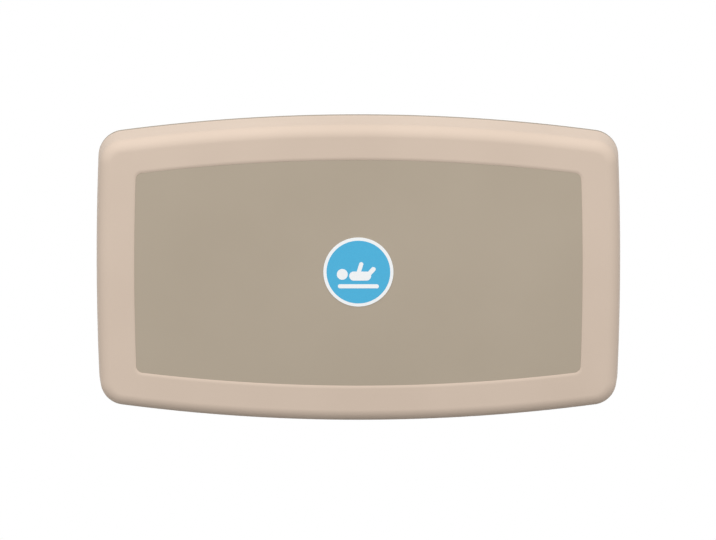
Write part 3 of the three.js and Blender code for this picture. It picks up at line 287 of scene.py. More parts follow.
rim_edge, rim_foot = rounding(RIM_ROUND), rounding(RIM_FOOT_ROUND, 3)
chassis = loft("chassis_moulding", [
    (bowed_outline(**STATION, inset=BACK_ROUND), 0),
    (bowed_outline(**STATION), BACK_ROUND),
    *((bowed_outline(**STATION, inset=inset), CHASSIS_RIM - depth) for inset, depth in rim_edge),
    *((bowed_outline(**STATION, inset=CHASSIS_RIM_WIDTH - inset), CHASSIS_RIM - depth)
      for inset, depth in reversed(rim_foot)),
    *((bowed_outline(**STATION, inset=CHASSIS_RIM_WIDTH + inset), CHASSIS_WALL + depth)
      for inset, depth in rim_foot),
])
relief_x = STATION["width"] / 2 - STATION["corner"]
rim_relief = block("rim_relief", at(-relief_x, -PAST, CHASSIS_WALL + SKIN),
                   at(relief_x, HINGE_UP + RIM_RELIEF, PAST))
boolean(chassis, "DIFFERENCE", rim_relief, *wall_bolt_holes(-1, 1))
taupe_polyethylene = moulded_polyethylene("taupe_moulded_polyethylene", "#9b8f80", "#9e9282", "#a19585")
dress(chassis, taupe_polyethylene, "chassis", "chassis_plastic", "wall_chassis")


# Mounting rails: two flat steel bars, zinc plated, that spread the load over the wall studs.
# Each lies in the chassis, with two holes for wall bolts and the foot of the hinge on its lower end.
RAIL_ROUND, PAIR = 0.6, ("left", "right")


def copy_of(piece, name, shift):
    """A copy of a piece with its own mesh, moved by a shift in metres."""
    take(piece)
    bpy.ops.object.duplicate()
    made = named(bpy.context.object, name)
    bpy.ops.transform.translate(value=shift)
    bpy.ops.object.transform_apply()
    return made


def copies(model, node, endings, *dressing, **shading):
    """Dresses a model of the first of some like nodes, and a copy of it for each of the others."""
    stem, pieces = model.name, [model]
    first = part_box(f"{node}_{endings[0]}")[0]
    for ending in endings[1:]:
        pieces.append(copy_of(model, f"{stem}_{ending}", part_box(f"{node}_{ending}")[0] - first))
    named(model, f"{stem}_{endings[0]}")
    for piece, ending in zip(pieces, endings):
        dress(piece, *dressing, f"{node}_{ending}", **shading)
    return pieces


def zinc_plate():
    """Bright zinc plating: a cool grey with a faint yellow passivation bloom, and fine drawing marks.
    The real marks are 0.2 mm apart; they are drawn 0.9 mm apart, to show."""
    made, tree, place = new_material("zinc_plated_steel")
    bloom_size, mark_size, mark_length = 0.035, 0.0009, 0.015
    bloom = add_node(tree, "TexNoise", {"Vector": place, "Scale": 1 / bloom_size, "Detail": 4})
    drawn = add_node(tree, "Mapping", {"Vector": place, "Scale": (mark_size / mark_length, 1, 1)})
    marks = add_node(tree, "TexNoise", {"Vector": drawn.outputs[0], "Scale": 1 / mark_size, "Detail": 2})
    tint = add_node(tree, "ValToRGB", {"Fac": bloom.outputs["Fac"]})
    shine = add_node(tree, "MapRange", {
        "Value": marks.outputs["Fac"], "From Min": 0.3, "From Max": 0.7, "To Min": 0.3, "To Max": 0.44})
    bump = add_node(tree, "Bump", {"Strength": 0.12, "Distance": 0.0001, "Height": marks.outputs["Fac"]})
    return surfaced(made, {
        "Base Color": shade_range(tint, (0.35, "#b3b6b9"), (0.65, "#b8b7b2")), "Metallic": 1,
        "Roughness": shine.outputs["Result"], "Normal": bump.outputs["Normal"]})


zinc_plated_steel = zinc_plate()
rail = block("steel_rail", *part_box("mounting_rail_left"))
boolean(rail, "DIFFERENCE", *wall_bolt_holes(-1))
soften(rail, RAIL_ROUND)
copies(rail, "mounting_rail", PAIR, zinc_plated_steel, "chassis", "zinc_steel")


# Fixed hinge leaf: a steel angle bolted to both rails, its ledge rolled into knuckles along the pin.
# It is cut back round the knuckles of the moving leaf and, in the middle, round the gas spring's eye.
PIN_RADIUS, PIN_FIT, KNUCKLE_RADIUS, LEAF, LEAF_HALF, LEAF_ROUND = 4, 0.45, 6.45, 3, 303, 0.4
CENTRE_KNUCKLE, KNUCKLES, KNUCKLE_GAP, KNUCKLE_PLAY, LEDGE_SHARE = 48, 5, 0.6, 1, 0.99
knuckle_pitch = (LEAF_HALF - CENTRE_KNUCKLE / 2) / KNUCKLES
wall_spans, bed_spans = [], [(-CENTRE_KNUCKLE / 2, CENTRE_KNUCKLE / 2)]
for number in range(KNUCKLES):
    start = CENTRE_KNUCKLE / 2 + number * knuckle_pitch + KNUCKLE_GAP
    end = CENTRE_KNUCKLE / 2 + (number + 1) * knuckle_pitch
    (bed_spans if number % 2 else wall_spans).extend([(start, end), (-end, -start)])


def extent(node):
    """A CAD node's box in mm: its sides, and its middle as x, up and out."""
    low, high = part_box(node)
    return SimpleNamespace(
        left=low.x * 1000, right=high.x * 1000, low=low.z * 1000, high=high.z * 1000,
        back=-high.y * 1000, front=-low.y * 1000,
        x=(low.x + high.x) * 500, up=(low.z + high.z) * 500, out=-(low.y + high.y) * 500)


def cross_rod(name, start, end, up, out, radius, sides=40):
    """A cylinder that lies along x."""
    return rod(name, at(start, up, out), at(end, up, out), radius, sides)


def along_pin(name, span, radius, grow=0.0):
    """A cylinder about the hinge axis over a span of x, grown at both ends."""
    return cross_rod(name, span[0] - grow, span[1] + grow, HINGE_UP, HINGE_OUT, radius)


def near(here, there):
    """Whether two sizes in mm are the same, but for rounding."""
    return abs(here - there) < 0.01


def pick(piece, kind, test):
    """Opens a piece in edit mode, and selects its faces, edges or points by a test.
    The test is given the middle of each one, as x, up and out in mm."""
    take(piece)
    bpy.ops.object.mode_set(mode="EDIT")
    bpy.ops.mesh.select_mode(type=kind)
    bpy.ops.mesh.select_all(action="DESELECT")
    bpy.ops.object.mode_set(mode="OBJECT")
    mesh = piece.data
    for item in {"FACE": mesh.polygons, "EDGE": mesh.edges, "VERT": mesh.vertices}[kind]:
        corners = [item.co] if kind == "VERT" else [mesh.vertices[i].co for i in item.vertices]
        spot = sum(corners, Vector()) / len(corners) * 1000
        item.select = test(spot.x, spot.z, -spot.y)
    bpy.ops.object.mode_set(mode="EDIT")


def pull(piece, test, way, inset=0):
    """Extrudes the faces that pass a test by a vector, drawn in first by an inset in mm."""
    pick(piece, "FACE", test)
    if inset:
        bpy.ops.mesh.inset(thickness=inset / 1000)
    bpy.ops.mesh.extrude_region_move(TRANSFORM_OT_translate={"value": way})
    bpy.ops.object.mode_set(mode="OBJECT")


def open_whole(piece):
    """Opens a piece in edit mode with everything selected."""
    take(piece)
    bpy.ops.object.mode_set(mode="EDIT")
    bpy.ops.mesh.select_all(action="SELECT")


def bisect(piece, place, normal):
    """Cuts new edges all round a piece, in a plane."""
    open_whole(piece)
    bpy.ops.mesh.bisect(plane_co=place, plane_no=normal)
    bpy.ops.object.mode_set(mode="OBJECT")


def angle_leaf(name, plate_out, plate_up, ledge_up, inside):
    """A plate with a ledge folded from the lower end of its inside, almost to the hinge axis."""
    leaf = block(name, at(-LEAF_HALF, plate_up[0], plate_out[0]), at(LEAF_HALF, plate_up[1], plate_out[1]))
    bisect(leaf, at(0, ledge_up, 0), (0, 0, 1))
    pull(leaf, lambda x, up, out: near(out, inside) and up < ledge_up,
         at(0, 0, (HINGE_OUT - inside) * LEDGE_SHARE))
    soften(leaf, LEAF_ROUND)
    return leaf


def roll_knuckles(leaf, own, others):
    """Cuts a leaf back round the other leaf's knuckles, and joins its own."""
    boolean(leaf, "DIFFERENCE", *(
        along_pin("knuckle_sweep", span, KNUCKLE_RADIUS + KNUCKLE_PLAY, KNUCKLE_GAP) for span in others))
    for span in own:
        knuckle = along_pin("knuckle", span, KNUCKLE_RADIUS - SKIN, -2 * SKIN)
        soften(knuckle, LEAF_ROUND)
        boolean(leaf, "UNION", knuckle)


def bore_for_pin(leaf):
    """Bores all the knuckles of a leaf in one cut."""
    boolean(leaf, "DIFFERENCE", along_pin("pin_bore", (-PAST, PAST), PIN_RADIUS + PIN_FIT))


space = extent("hinge_wall_leaf")
ledge_top, plate_front = HINGE_UP + KNUCKLE_RADIUS, space.back + LEAF
wall_leaf = angle_leaf("hinge_leaf_fixed", (space.back, plate_front), (ledge_top - LEAF, space.high),
                       ledge_top, plate_front)
eye_gap = CENTRE_KNUCKLE / 2 + KNUCKLE_GAP
boolean(wall_leaf, "DIFFERENCE", block("eye_gap", at(-eye_gap, HINGE_UP, plate_front + SKIN),
                                       at(eye_gap, PAST, PAST)))
roll_knuckles(wall_leaf, wall_spans, bed_spans[1:])
bore_for_pin(wall_leaf)
dress(wall_leaf, zinc_plated_steel, "chassis", "zinc_steel", "hinge_wall_leaf")


# Hinge pin: a drawn steel rod with an upset head, and a black cap pressed on its other end.
# It runs the whole length of the hinge and stays with the fixed leaf.
PIN_ROUND, CAP_FIT, CAP_SOCKET, CAP_ROUND = 0.7, 0.3, 3, 2.2


def round_off(piece, kind, test, width, segments):
    """Bevels the edges, or the rims of the faces, that pass a test, by a width in mm."""
    pick(piece, kind, test)
    bpy.ops.mesh.bevel(offset=width / 1000, segments=segments, affect="EDGES")
    bpy.ops.object.mode_set(mode="OBJECT")


def black_coat():
    """Black powder coat: a soft low gloss over an orange-peel surface with pips about 1.2 mm across."""
    made, tree, place = new_material("black_powder_coat")
    peel_size = 0.0012
    peel = add_node(tree, "TexNoise", {"Vector": place, "Scale": 1 / peel_size, "Detail": 1})
    shade = add_node(tree, "ValToRGB", {"Fac": peel.outputs["Fac"]})
    bump = add_node(tree, "Bump", {"Strength": 0.25, "Distance": 0.0002, "Height": peel.outputs["Fac"]})
    return surfaced(made, {
        "Base Color": shade_range(shade, (0.3, "#222326"), (0.7, "#2d2e31")), "Roughness": 0.42,
        "Normal": bump.outputs["Normal"]})


black_powder_coat = black_coat()
space = extent("hinge_pin")
head_end = space.left + LEAF
pin = along_pin("hinge_pin_headed", (space.left, head_end), KNUCKLE_RADIUS)
pull(pin, lambda x, up, out: near(x, head_end), at(space.right - head_end, 0, 0),
     KNUCKLE_RADIUS - PIN_RADIUS)
soften(pin, PIN_ROUND, 3)
dress(pin, zinc_plated_steel, "chassis", "zinc_steel", "hinge_pin")
space = extent("hinge_pin_cap")
cap = along_pin("hinge_pin_end_cap", (space.left, space.right), KNUCKLE_RADIUS)
pull(cap, lambda x, up, out: near(x, space.left), at(CAP_SOCKET, 0, 0),
     KNUCKLE_RADIUS - PIN_RADIUS - CAP_FIT)
round_off(cap, "FACE", lambda x, up, out: near(x, space.right), CAP_ROUND, 5)
dress(cap, black_powder_coat, "chassis", "black_steel", "hinge_pin_cap")


# Leaf bolts: four hex-headed steel bolts that hold the fixed leaf to the rails.
# Each head is chamfered on top, and a plain round shank runs back from it.
BOLT_RADIUS, HEX_RADIUS, HEX_HEIGHT, HEX_CHAMFER, FOUR = 3, 6, 3, 0.7, "1234"
space = extent("leaf_bolt_1")
seat = space.front - HEX_HEIGHT
leaf_bolt = outward_rod("hex_bolt", space.x, space.up, seat, space.front, HEX_RADIUS, 6)
round_off(leaf_bolt, "FACE", lambda x, up, out: near(out, space.front), HEX_CHAMFER, 3)
pull(leaf_bolt, lambda x, up, out: near(out, seat), at(0, 0, space.back - seat),
     HEX_RADIUS * math.cos(math.pi / 6) - BOLT_RADIUS)
copies(leaf_bolt, "leaf_bolt", FOUR, zinc_plated_steel, "chassis", "zinc_steel")


# Gas spring: a black tube held to the chassis by two clamps, with a chromed rod that the bed's crank pulls.
# The rod ends in a forged eye whose slot lets the crank pin cross it as the bed swings.
TUBE_RADIUS, TUBE_CRIMP, CRIMP_INSET, TUBE_ROUND, TUBE_END = 10, 4, 1.8, 0.8, 12
GAS_ROD_RADIUS, GLAND_FIT, CLAMP_FIT, CLAMP_ROUND = 4, 0.4, 0.3, 0.6
CRANK = 24
CRANK_DROP = CRANK * math.sqrt(0.5)
EYE_HALF, EYE_CUT, EYE_RADIUS, EYE_ROUND, STEM_SEAT = 5, 20, 9.5, 0.9, 1.5
SLOT_RADIUS, SLOT_RUN = 5, CRANK * (1 - math.sqrt(0.5))
# The length of a wave texture's wave at scale 1.
WAVE_LENGTH = math.pi / 10


def ground_chrome():
    """Ground and chromed rod: mirror bright, with faint grinding lines round it, drawn 0.8 mm apart."""
    made, tree, place = new_material("ground_hard_chrome")
    line_size = 0.0008
    lines = add_node(tree, "TexWave", {
        "Vector": place, "Scale": WAVE_LENGTH / line_size, "Distortion": 1.5, "Detail": 2},
        bands_direction="Z")
    shine = add_node(tree, "MapRange", {"Value": lines.outputs["Fac"], "To Min": 0.1, "To Max": 0.2})
    bump = add_node(tree, "Bump", {"Strength": 0.05, "Distance": 0.0001, "Height": lines.outputs["Fac"]})
    return surfaced(made, {
        "Base Color": linear("#d6d8da"), "Metallic": 1, "Roughness": shine.outputs["Result"],
        "Normal": bump.outputs["Normal"]})


def stadium(name, start, end, run, radius):
    """A cylinder from start to end with one half pulled along run: straight sides between round ends."""
    made = rod(name, start, end, radius, 50)
    pick(made, "VERT", lambda x, up, out: (at(x, up, out) - start).dot(run) > 0)
    bpy.ops.transform.translate(value=run)
    bpy.ops.object.mode_set(mode="OBJECT")
    return made


def upright_rod(name, low, high, radius, sides=40):
    """A cylinder about the gas spring's axis."""
    return rod(name, at(0, low, gas_out), at(0, high, gas_out), radius, sides)


tube_space = extent("gas_cylinder")
gas_out = tube_space.out
tube_ends = (tube_space.low + TUBE_CRIMP, -TUBE_CRIMP), (tube_space.high - TUBE_CRIMP, TUBE_CRIMP)
tube = upright_rod("gas_spring_tube", tube_ends[0][0], tube_ends[1][0], TUBE_RADIUS, 48)
for end_up, crimp in tube_ends:
    pull(tube, lambda x, up, out: near(up, end_up), at(0, crimp, 0), CRIMP_INSET)
boolean(tube, "DIFFERENCE", upright_rod("gland", -PAST, tube_space.high - TUBE_END,
                                        GAS_ROD_RADIUS + GLAND_FIT))
soften(tube, TUBE_ROUND, 3)
dress(tube, black_powder_coat, "chassis", "black_steel", "gas_cylinder")

space = extent("cylinder_clamp_lower")
clamp = block("tube_clamp", at(space.left, space.low, space.back),
              at(space.right, space.high, gas_out - 2 * SKIN))
band = upright_rod("band", space.low + 4 * SKIN, space.high - 4 * SKIN, space.front - gas_out, 48)
soften(clamp, CLAMP_ROUND)
soften(band, CLAMP_ROUND)
boolean(clamp, "UNION", band)
boolean(clamp, "DIFFERENCE", upright_rod("seat", -PAST, PAST, TUBE_RADIUS + CLAMP_FIT, 48))
copies(clamp, "cylinder_clamp", ("lower", "upper"), black_powder_coat, "chassis", "black_steel")

eye_up, eye_back = HINGE_UP - CRANK_DROP, gas_out - SLOT_RUN / 2
gas_rod, eye_slot = (
    stadium(name, at(-half, eye_up, eye_back), at(half, eye_up, eye_back), at(0, 0, SLOT_RUN), radius)
    for name, half, radius in (("gas_spring_rod", EYE_HALF, EYE_RADIUS), ("eye_slot", EYE_CUT, SLOT_RADIUS)))
boolean(gas_rod, "DIFFERENCE", eye_slot)
soften(gas_rod, EYE_ROUND, 3, 50)
boolean(gas_rod, "UNION", upright_rod("stem", eye_up + EYE_RADIUS - STEM_SEAT, extent("gas_rod").high,
                                      GAS_ROD_RADIUS))
dress(gas_rod, ground_chrome(), "gas_rod", "chromed_rod", "gas_rod")


# Mechanism cover: a thin polyethylene box over the gas spring, open below for the rod.
# A screw through an ear on each side holds it to the chassis.
EAR, EAR_WALL, EAR_ROUND, EAR_ROOT = 18, 2.5, 0.4, 1
COVER_WALL, COVER_CORNER, COVER_ROUND = 2.2, 9, 0.5


def thicken(piece, wall, offset=-1):
    """Grows a wall in mm behind a skin, or to both its sides."""
    modify(piece, "SOLIDIFY", thickness=wall / 1000, offset=offset, use_even_offset=offset == -1)


def open_box(name, left, right, space, round_edges, radius, open_faces, wall):
    """A box with chosen edges rounded, some faces taken away, and a wall grown inwards."""
    made = block(name, at(left, space.low, space.back), at(right, space.high, space.front))
    round_off(made, "EDGE", round_edges, radius, 5)
    pick(made, "FACE", open_faces)
    bpy.ops.mesh.delete(type="FACE")
    bpy.ops.object.mode_set(mode="OBJECT")
    thicken(made, wall)
    return made


def add_ears(piece, left, right, up, back):
    """Joins a screw ear with a round outer end to each side of a box, reaching a little into it."""
    half = EAR / 2
    for x, toward in ((left - half, 1), (right + half, -1)):
        ear = stadium("ear", at(x, up, back + SKIN), at(x, up, back + EAR_WALL - SKIN),
                      at(toward * (half + EAR_ROOT), 0, 0), half)
        soften(ear, EAR_ROUND)
        boolean(piece, "UNION", ear)


space = extent("mechanism_cover")
cover_half = space.right - EAR
cover = open_box(
    "gas_spring_cover", -cover_half, cover_half, space,
    lambda x, up, out: not near(out, space.back) and not near(up, space.low), COVER_CORNER,
    lambda x, up, out: near(up, space.low) or near(out, space.back), COVER_WALL)
soften(cover, COVER_ROUND)
add_ears(cover, -cover_half, cover_half, space.up, space.back)
dress(cover, taupe_polyethylene, "chassis", "chassis_plastic", "mechanism_cover")


# Liner pockets: two open-topped boxes of thin polyethylene, each with a window to pull a liner through.
# They stand in front of the rails, on screws through an ear at each side.
POCKET_WALL, POCKET_CORNER, POCKET_ROUND, EAR_RISE = 2.5, 7, 0.6, 170
WINDOW_HALF, WINDOW_LOW, WINDOW_HIGH, WINDOW_CORNER, WINDOW_IN, WINDOW_OUT = 85, -40, 20, 18, 8, 5
space = extent("liner_pocket_left")
pocket_left, pocket_right = space.left + EAR, space.right - EAR
pocket = open_box(
    "pocket", pocket_left, pocket_right, space,
    lambda x, up, out: not near(out, space.back) and not near(up, space.high), POCKET_CORNER,
    lambda x, up, out: near(up, space.high), POCKET_WALL)
window_x = (pocket_left + pocket_right) / 2
window = block("window", at(window_x - WINDOW_HALF, WINDOW_LOW, space.front - WINDOW_IN),
               at(window_x + WINDOW_HALF, WINDOW_HIGH, space.front + WINDOW_OUT))
window_middle = space.front + (WINDOW_OUT - WINDOW_IN) / 2
round_off(window, "EDGE", lambda x, up, out: near(out, window_middle), WINDOW_CORNER, 8)
boolean(pocket, "DIFFERENCE", window)
soften(pocket, POCKET_ROUND)
add_ears(pocket, pocket_left, pocket_right, space.low + EAR_RISE, space.back)
copies(pocket, "liner_pocket", PAIR, taupe_polyethylene, "chassis", "chassis_plastic")


# Liners: a long strip of embossed tissue paper in each pocket, fan-folded so that one liner after another
# pulls out through the window. The folds stand a little uneven, as loose paper does, and the paper is
# drawn thicker than tissue.
LINER_LAYERS, LINER_PAPER, LINER_SLACK, SLACK_TURN = 12, 0.8, 2.2, 2.4


def ribbon(name, path, x_span, thickness, across):
    """A strip along a path of (up, out): a grid laid along it and thickened, with a UV map in metres."""
    rows = len(path) - 1
    strip = started(name, bpy.ops.mesh.primitive_grid_add, x_subdivisions=across, y_subdivisions=rows,
                    size=1, location=(0, 0, 0))
    runs = [0]
    for here, there in zip(path, path[1:]):
        runs.append(runs[-1] + math.dist(here, there) / 1000)
    points = [(corner.co.x + 0.5, round((corner.co.y + 0.5) * rows)) for corner in strip.data.vertices]
    width = x_span[1] - x_span[0]
    for corner, uv in zip(strip.data.loops, strip.data.uv_layers.active.data):
        share, row = points[corner.vertex_index]
        uv.uv = share * width / 1000, runs[row]
    for corner, (share, row) in zip(strip.data.vertices, points):
        corner.co = at(x_span[0] + share * width, *path[row])
    thicken(strip, thickness, 0)
    return strip, runs[-1]


def tissue_paper():
    """Two-ply tissue: soft white, with rows of embossed dots 4 mm apart and faint crumpling."""
    made, tree, place = new_material("embossed_tissue_paper", "UV")
    dot_pitch, crumple_size = 0.004, 0.03
    dots = add_node(tree, "TexVoronoi", {
        "Vector": place, "Scale": 1 / dot_pitch, "Randomness": 0.0}, voronoi_dimensions="2D")
    crumple = add_node(tree, "TexNoise", {"Vector": place, "Scale": 1 / crumple_size, "Detail": 3})
    tint = add_node(tree, "ValToRGB", {"Fac": crumple.outputs["Fac"]})
    emboss = add_node(tree, "Bump", {
        "Strength": 0.5, "Distance": 0.0004, "Height": dots.outputs["Distance"]})
    bump = add_node(tree, "Bump", {"Strength": 0.3, "Distance": 0.0015, "Height": crumple.outputs["Fac"],
                                   "Normal": emboss.outputs["Normal"]})
    return surfaced(made, {
        "Base Color": shade_range(tint, (0.3, "#e6e4de"), (0.7, "#f1efea")), "Roughness": 0.9,
        "Normal": bump.outputs["Normal"]})


low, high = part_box("liner_stack_left")
space = extent("liner_stack_left")
layer_pitch = (high.y - low.y) * 1000 / LINER_LAYERS
fold = layer_pitch / 2
liner_path = [(space.low, space.back + fold)]
for layer in range(LINER_LAYERS):
    layer_out = space.back + fold + layer * layer_pitch
    slack = LINER_SLACK * (1 + math.sin(SLACK_TURN * layer))
    upward = layer % 2 == 0
    end_up = space.high - fold - slack if upward else space.low + fold
    liner_path.append(((liner_path[-1][0] + end_up) / 2, layer_out))
    if layer == LINER_LAYERS - 1:
        liner_path.append((end_up, layer_out))
        break
    for turn in spread(0, math.pi, 8):
        rise = fold * math.sin(turn) * (1 if upward else -1)
        liner_path.append((end_up + rise, layer_out + fold * (1 - math.cos(turn))))
liner, liner_length = ribbon("folded_liner", liner_path, (space.left, space.right), LINER_PAPER, 4)
liners = copies(liner, "liner_stack", PAIR, tissue_paper(), "chassis", "liner_paper", angle=60)


# Bag hooks: stout moulded hooks screwed to the chassis, one near each end.
# The arm turns up into a lip, and every edge is rounded so that no bag strap is cut.
HOOK_THICKNESS, HOOK_LIP, HOOK_ROUND = 7, 24, 2.6
space = extent("bag_hook_left")
arm_top, arm_back = space.low + HOOK_THICKNESS, space.back + HOOK_THICKNESS
lip_back = space.front - HOOK_THICKNESS
hook = block("moulded_hook", at(space.left, space.low, space.back), at(space.right, space.high, arm_back))
bisect(hook, at(0, arm_top, 0), (0, 0, 1))
pull(hook, lambda x, up, out: near(out, arm_back) and up < arm_top, at(0, 0, lip_back - arm_back))
pull(hook, lambda x, up, out: near(out, lip_back), at(0, 0, HOOK_THICKNESS))
pull(hook, lambda x, up, out: near(up, arm_top) and out > lip_back, at(0, HOOK_LIP - HOOK_THICKNESS, 0))
soften(hook, HOOK_ROUND, 5)
copies(hook, "bag_hook", PAIR, taupe_polyethylene, "chassis", "chassis_plastic")


# Pan-head screws: zinc-plated, with a cross recess. They hold the cover, the pockets and the hooks to
# the chassis, and the tray to the outer shell. Each stands at the turn where it drew tight.
SCREW_HEAD, SCREW_HEIGHT, SCREW_SHANK, SCREW_ROUND = 4.2, 2, 2, 1.3
RECESS_ARM, RECESS_HALF, RECESS_DEPTH, FIRST_TURN, NEXT_TURN = 2.1, 0.45, 1.1, 0.37, 0.61
space = extent("cover_screw_left")
seat, length = space.front - SCREW_HEIGHT, space.front - SCREW_HEIGHT - space.back
model_place = at(space.x, space.up, seat)
screw_model = outward_rod("pan_screw", space.x, space.up, seat, space.front, SCREW_HEAD, 32)
round_off(screw_model, "FACE", lambda x, up, out: near(out, space.front), SCREW_ROUND, 4)
cross, cross_arm = (
    block("recess", at(space.x - wide, space.up - tall, space.front - RECESS_DEPTH),
          at(space.x + wide, space.up + tall, PAST))
    for wide, tall in ((RECESS_ARM, RECESS_HALF), (RECESS_HALF, RECESS_ARM)))
boolean(cross, "UNION", cross_arm)
boolean(screw_model, "DIFFERENCE", cross)
pull(screw_model, lambda x, up, out: near(out, seat), at(0, 0, -length), SCREW_HEAD - SCREW_SHANK)
screws = [*(f"cover_screw_{side}" for side in PAIR),
          *(f"pocket_screw_{side}_{number}" for side in PAIR for number in (1, 2)),
          *(f"hook_screw_{side}" for side in PAIR),
          *(f"rim_screw_{number}" for number in range(1, 7))]
for number, node in enumerate(screws):
    space = extent(node)
    in_bed = node.startswith("rim")
    seat = space.back + SCREW_HEIGHT if in_bed else space.front - SCREW_HEIGHT
    place = at(space.x, space.up, seat)
    screw = copy_of(screw_model, f"pan_{node}", place - model_place)
    bpy.ops.transform.rotate(value=FIRST_TURN + NEXT_TURN * number, orient_axis="Y", center_override=place)
    if in_bed:
        bpy.ops.transform.rotate(value=math.pi, orient_axis="X", center_override=place)
    bpy.ops.object.transform_apply()
    tip, real_tip = (seat + length, space.front) if in_bed else (seat - length, space.back)
    pick(screw, "VERT", lambda x, up, out: near(out, tip))
    bpy.ops.transform.translate(value=at(0, 0, real_tip - tip))
    bpy.ops.object.mode_set(mode="OBJECT")
    dress(screw, zinc_plated_steel, "bed" if in_bed else "chassis", "zinc_steel", node)
bpy.data.objects.remove(screw_model)


# Rubber pads: round bumpers that meet the tray's rim when the bed is shut, and longer stops below the
# hinge that the shell lands on when the bed is down. Each is moulded with a dished face.
PAD_ROUND, DISH_BORDER, DISH_SLOPE, DISH_DEPTH = 0.8, 2.4, 0.8, 0.7


def moulded_rubber():
    """Black moulded rubber: dull, with a dusty bloom in patches about 6 mm across."""
    made, tree, place = new_material("black_moulded_rubber")
    bloom_size = 0.006
    bloom = add_node(tree, "TexNoise", {"Vector": place, "Scale": 1 / bloom_size, "Detail": 5})
    shade = add_node(tree, "ValToRGB", {"Fac": bloom.outputs["Fac"]})
    bump = add_node(tree, "Bump", {"Strength": 0.2, "Distance": 0.0002, "Height": bloom.outputs["Fac"]})
    return surfaced(made, {
        "Base Color": shade_range(shade, (0.3, "#272727"), (0.7, "#353433")), "Roughness": 0.82,
        "Normal": bump.outputs["Normal"], "IOR": 1.52})


rubber = moulded_rubber()
for node in ("closing_bumper", "open_stop"):
    space = extent(f"{node}_left")
    pad = outward_rod(f"rubber_{node}", space.x, space.up, space.back, space.front,
                      (space.right - space.left) / 2, 48)
    soften(pad, PAD_ROUND, 4)
    pick(pad, "FACE", lambda x, up, out: near(out, space.front))
    bpy.ops.mesh.inset(thickness=DISH_BORDER / 1000)
    bpy.ops.mesh.inset(thickness=DISH_SLOPE / 1000, depth=-DISH_DEPTH / 1000)
    bpy.ops.object.mode_set(mode="OBJECT")
    copies(pad, node, PAIR, rubber, "chassis", "rubber")


# Moving hinge leaf: a steel angle that passes below the pin and up behind the tray's floor, with two crank
# lugs in the middle that pull the gas spring's eye. The crank pin is riveted through both lugs.
LUG_NEAR, LUG_FAR, LUG_ARM, LUG_END, STRAP_NOTCH, STRAP_NOTCH_RISE = 6, 11, 6, 8, 45, 57
CRANK_PIN_RADIUS, CRANK_PIN_ROUND = 4, 0.8
space = extent("hinge_bed_leaf")
plate_back, ledge_bottom = space.front - LEAF, HINGE_UP - KNUCKLE_RADIUS
bed_leaf = angle_leaf("hinge_leaf_moving", (plate_back, space.front), (ledge_bottom, space.high),
                      ledge_bottom + LEAF, plate_back)
boolean(bed_leaf, "DIFFERENCE", block("strap_notch", at(-STRAP_NOTCH, ledge_bottom + STRAP_NOTCH_RISE, 0),
                                      at(STRAP_NOTCH, PAST, PAST)))
roll_knuckles(bed_leaf, bed_spans, wall_spans)
crank = HINGE_UP - CRANK_DROP, HINGE_OUT - CRANK_DROP
for side in (-1, 1):
    lug = stadium("crank_lug", at(side * LUG_NEAR, HINGE_UP, HINGE_OUT),
                  at(side * LUG_FAR, HINGE_UP, HINGE_OUT), at(0, -CRANK_DROP, -CRANK_DROP), LUG_ARM)
    lug_end = cross_rod("lug_end", side * (LUG_NEAR + 2 * SKIN), side * (LUG_FAR - 2 * SKIN), *crank,
                        LUG_END)
    soften(lug, LEAF_ROUND)
    soften(lug_end, LEAF_ROUND)
    boolean(lug, "UNION", lug_end)
    boolean(bed_leaf, "UNION", lug)
bore_for_pin(bed_leaf)
dress(bed_leaf, zinc_plated_steel, "bed", "zinc_steel", "hinge_bed_leaf")
space = extent("crank_pin")
crank_pin = cross_rod("crank_rivet", space.left, space.right, *crank, CRANK_PIN_RADIUS)
soften(crank_pin, CRANK_PIN_ROUND, 4)
dress(crank_pin, zinc_plated_steel, "bed", "zinc_steel", "crank_pin")


# Inner tray of the bed: the changing surface, one beige polyethylene moulding with a flat rim and a basin
# whose wall curves into its floor. Along the hinge the rim drops to a shelf, clear of the mechanism.
RIM_OUT, TRAY_WALL, TRAY_DEPTH, RIM_INSET = 10, 3.5, 64, 4.28
BASIN = {"width": 840, "height": 420, "corner": 60, "rise": 15}
BASIN_RUN, BASIN_LIP = 40, 5
STEP_UP, STEP_OUT, SHELF_LOW, SHELF_INSET, SHELF_SEAM = -171, 37, -223, 5.7, 0.3
SLOT_HALF, SLOT_ROUND, SLOT_IN, SLOT_OUT = 21, 2.8, 5, 10
STRAP_SLOTS = (-121.6, -114.4), (159.4, 166.6)
floor_out = RIM_OUT + TRAY_DEPTH


def basin_rings(steps, behind=0.0):
    """Rings down the basin's wall, a quarter of an ellipse from rim to floor, or a little behind it."""
    return [(bowed_outline(**BASIN, inset=BASIN_RUN * (1 - math.cos(turn)) - behind),
             RIM_OUT + TRAY_DEPTH * math.sin(turn)) for turn in spread(0, math.pi / 2, steps)]


def look_along(piece, way):
    """Turns a skin over where its widest face doesn't look along a way."""
    widest = max(piece.data.polygons, key=lambda face: face.area)
    if widest.normal.dot(Vector(way)) < 0:
        open_whole(piece)
        bpy.ops.mesh.flip_normals()
        bpy.ops.object.mode_set(mode="OBJECT")


tray_rim = bowed_outline(**STATION, inset=RIM_INSET), RIM_OUT
lip = [(bowed_outline(**BASIN, inset=-inset), RIM_OUT + depth)
       for inset, depth in reversed(rounding(BASIN_LIP, 5))]
wall_rings = [ring for ring in basin_rings(18) if ring[1] > RIM_OUT + BASIN_LIP]
tray = loft("bed_tray", [tray_rim, *lip, *wall_rings], first_face=False)
look_along(tray, (0, 1, 0))
thicken(tray, TRAY_WALL)
boolean(tray, "DIFFERENCE", block("hinge_side", at(-PAST, -PAST, 0), at(PAST, STEP_UP, STEP_OUT)))
